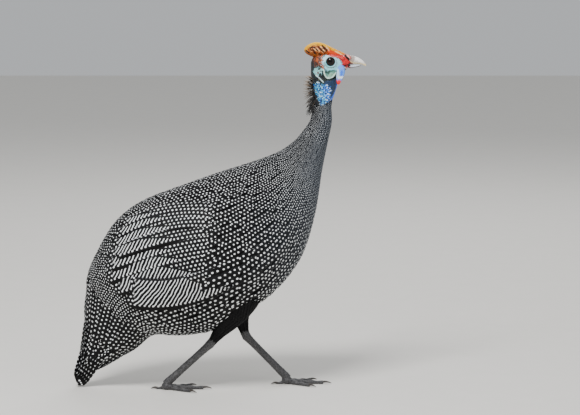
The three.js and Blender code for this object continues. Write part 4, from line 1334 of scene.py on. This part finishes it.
def shank(name, heel, up, down, material):
    """The scaly shank with its heel: a stack of scutes that step out towards their lower edge."""
    stops = [(heel + up * 16, 4.0), (heel + up * 8.7, 4.4), (heel + up * 4, 5.3),
             (heel + down * 2, 5.6)]
    along = 6.0
    while along < TARSUS - 7:
        swell = 0.6 * abs(2 * (along - 6) / 59 - 1) ** 3
        step = 0.32 * (along / SCUTE_LENGTH % 1)
        stops.append((heel + down * along, 4.15 + swell + step))
        along += 0.7
    piece = tube("shank_" + name, stops, resolution=5)
    smooth_shaded(piece)
    finish_piece(piece, name + "_shank", material, ["shank_" + name])


def toe(joint, heading, length, radius):
    """One padded, ringed toe and its claw."""
    hind = length < 20
    start = Vector((joint.x, joint.y, 6.4 if hind else 4.4))
    pads = 2 if hind else 3
    stops = []
    for i in range(TOE_STEPS + 1):
        share = i / TOE_STEPS
        pad = 1 + 0.1 * math.cos(2 * math.pi * pads * share)
        ring = 0.12 * (share * length / TOE_SCALE_LENGTH % 1)
        size = radius * (1 - 0.34 * share) * pad * 0.96 + ring
        at = start + heading * length * share
        at.z = start.z + (size * 0.9 - start.z) * min(1, share * 2.2)
        stops.append((at, size))
    tip = stops[-1][0]
    claw = [(tip + heading * radius * 2.6 * along + Vector((0, 0, rise)), size)
            for along, rise, size in CLAW]
    return tube("toe", stops), tube("claw", claw)


def leg_pieces(name, leg, scales, horn):
    """A shank, and a foot of three front toes, a hind toe and claws."""
    heel, knee = heel_and_knee(leg)
    drop = heel.z - TOE_JOINT_HEIGHT
    run = math.sqrt(TARSUS ** 2 - drop ** 2) * leg["stride"]
    joint = Vector((heel.x + run, heel.y, TOE_JOINT_HEIGHT))
    down = (joint - heel).normalized()
    shank(name, heel, (knee - heel).normalized(), down, scales)
    pieces = [tube("joint", [(heel + down * 64, 4.6), (joint - down * 3, 5.2), (joint + down * 2, 4.8)])]
    bpy.ops.mesh.primitive_uv_sphere_add(
        segments=24, ring_count=12, radius=MM, location=(joint.x * MM, joint.y * MM, 4.6 * MM),
        scale=(6.4, 6, 4.9))
    bpy.ops.object.transform_apply(location=True, rotation=True, scale=True)
    pieces.append(bpy.context.active_object)
    claws = []
    for angle, length, radius in TOES:
        turn = math.radians(-angle * leg["side"])
        made, claw = toe(joint, Vector((math.cos(turn), math.sin(turn), 0)), length, radius)
        pieces.append(made)
        claws.append(claw)
    foot = join_pieces(pieces)
    apply_modifier(foot, "REMESH", mode="VOXEL", voxel_size=0.7 * MM)
    apply_modifier(foot, "SMOOTH", factor=0.5, iterations=3)
    nails = join_pieces(claws)
    for piece in (foot, nails):
        points, _ = read_points(piece.data)
        points[:, 2] = np.maximum(points[:, 2], 0)
        write_points(piece.data, points)
        smooth_shaded(piece)
    finish_piece(foot, name + "_foot", scales, ["foot_" + name])
    finish_piece(nails, name + "_claws", horn)


# The scene

LENS = 180
VIEW_WIDTH = 0.696  # width of the view at the bird, in metres
VIEW_ELEVATION = 8
VIEW_CENTRE = (0.0846, 0.0, 0.219)
WORLD_STRENGTH = 0.65
# Area lights as name, place, size and power
LIGHTS = [("key", (-0.5, -1.2, 1.9), 0.7, 52), ("fill", (1.5, -1.2, 0.7), 1.4, 6),
          ("back", (0.3, 1.5, 1.5), 1.2, 14)]


def studio(matt_floor):
    """A pale floor, soft light and a long lens at the level of the bird's back."""
    bpy.ops.mesh.primitive_plane_add(size=8, location=(0, 0, 0))
    floor = bpy.context.active_object
    floor.name = "floor"
    floor.data.materials.append(matt_floor)
    world = bpy.data.worlds.new("studio")
    bpy.context.scene.world = world
    world.use_nodes = True
    feed(world.node_tree.nodes["Background"], {"Color": colour("e4e7ea"), "Strength": WORLD_STRENGTH})
    for name, at, size, power in LIGHTS:
        bpy.ops.object.light_add(type="AREA", location=at)
        light = bpy.context.active_object
        light.name = name
        light.data.energy = power
        light.data.size = size
        aim = Vector((0, 0, 0.2)) - Vector(at)
        light.rotation_euler = aim.to_track_quat("-Z", "Y").to_euler()
    bpy.ops.object.camera_add()
    camera = bpy.context.active_object
    camera.data.lens = LENS
    camera.data.clip_end = 50
    distance = VIEW_WIDTH * LENS / camera.data.sensor_width
    rise = math.radians(VIEW_ELEVATION)
    back = Vector((0, -math.cos(rise), math.sin(rise)))
    camera.location = Vector(VIEW_CENTRE) + back * distance
    camera.rotation_euler = (-back).to_track_quat("-Z", "Y").to_euler()
    bpy.context.scene.camera = camera


feathers = feather_material()
# Bare skin, folded and pebbled: light sinks in a little and it shines softly on the pebbles.
bare_skin = painted_material("bare pebbled skin", 0.5, pebble=1.11, strength=0.6, depth=0.6,
                             Subsurface_Weight=0.08, Subsurface_Scale=2 * MM)
# The helmet's keratin, grown rough and never polished: deep colour with hardly any highlight of its own;
# the brighter lines on it are painted highlights in its paint.
helmet_horn = painted_material("rough helmet horn", 0.45, pebble=1.43, strength=0.3, depth=0.3,
                               Specular_IOR_Level=0.2)
# The bill's keratin, worn smooth by use: pale horn with a soft bright line along its ridge.
bill_keratin = painted_material("bill horn keratin", 0.3, pebble=3.33, strength=0.08, depth=0.2)
scales = scale_material()
# The claws' keratin, worn by the ground: dark brown, a little glossier than the scales.
claw_horn = plain_material("claw horn", "3a332e", 0.35, grain=1.67, depth=0.3, spread=0.25)
# Matt floor paint, rolled on: a pale, even ground with no mirror image of the bird. A roller's
# grain is much finer, and is drawn this coarse so that it shows from where the camera stands.
floor_paint = plain_material("matt painted floor", "e6e3dd", 0.85, grain=33.3, depth=0.2, spread=0.05)
skin_piece(bare_skin)
spotted_coat(feathers)
wing_feathers(flight_material())
tail_feathers(feathers)
thigh_feathers(feathers)
nape_bristles(bristle_material())
casque(helmet_horn)
bill(bill_keratin)
wattles_and_eyes(bare_skin, eye_material())
for name, leg in LEGS.items():
    leg_pieces(name, leg, scales, claw_horn)
studio(floor_paint)
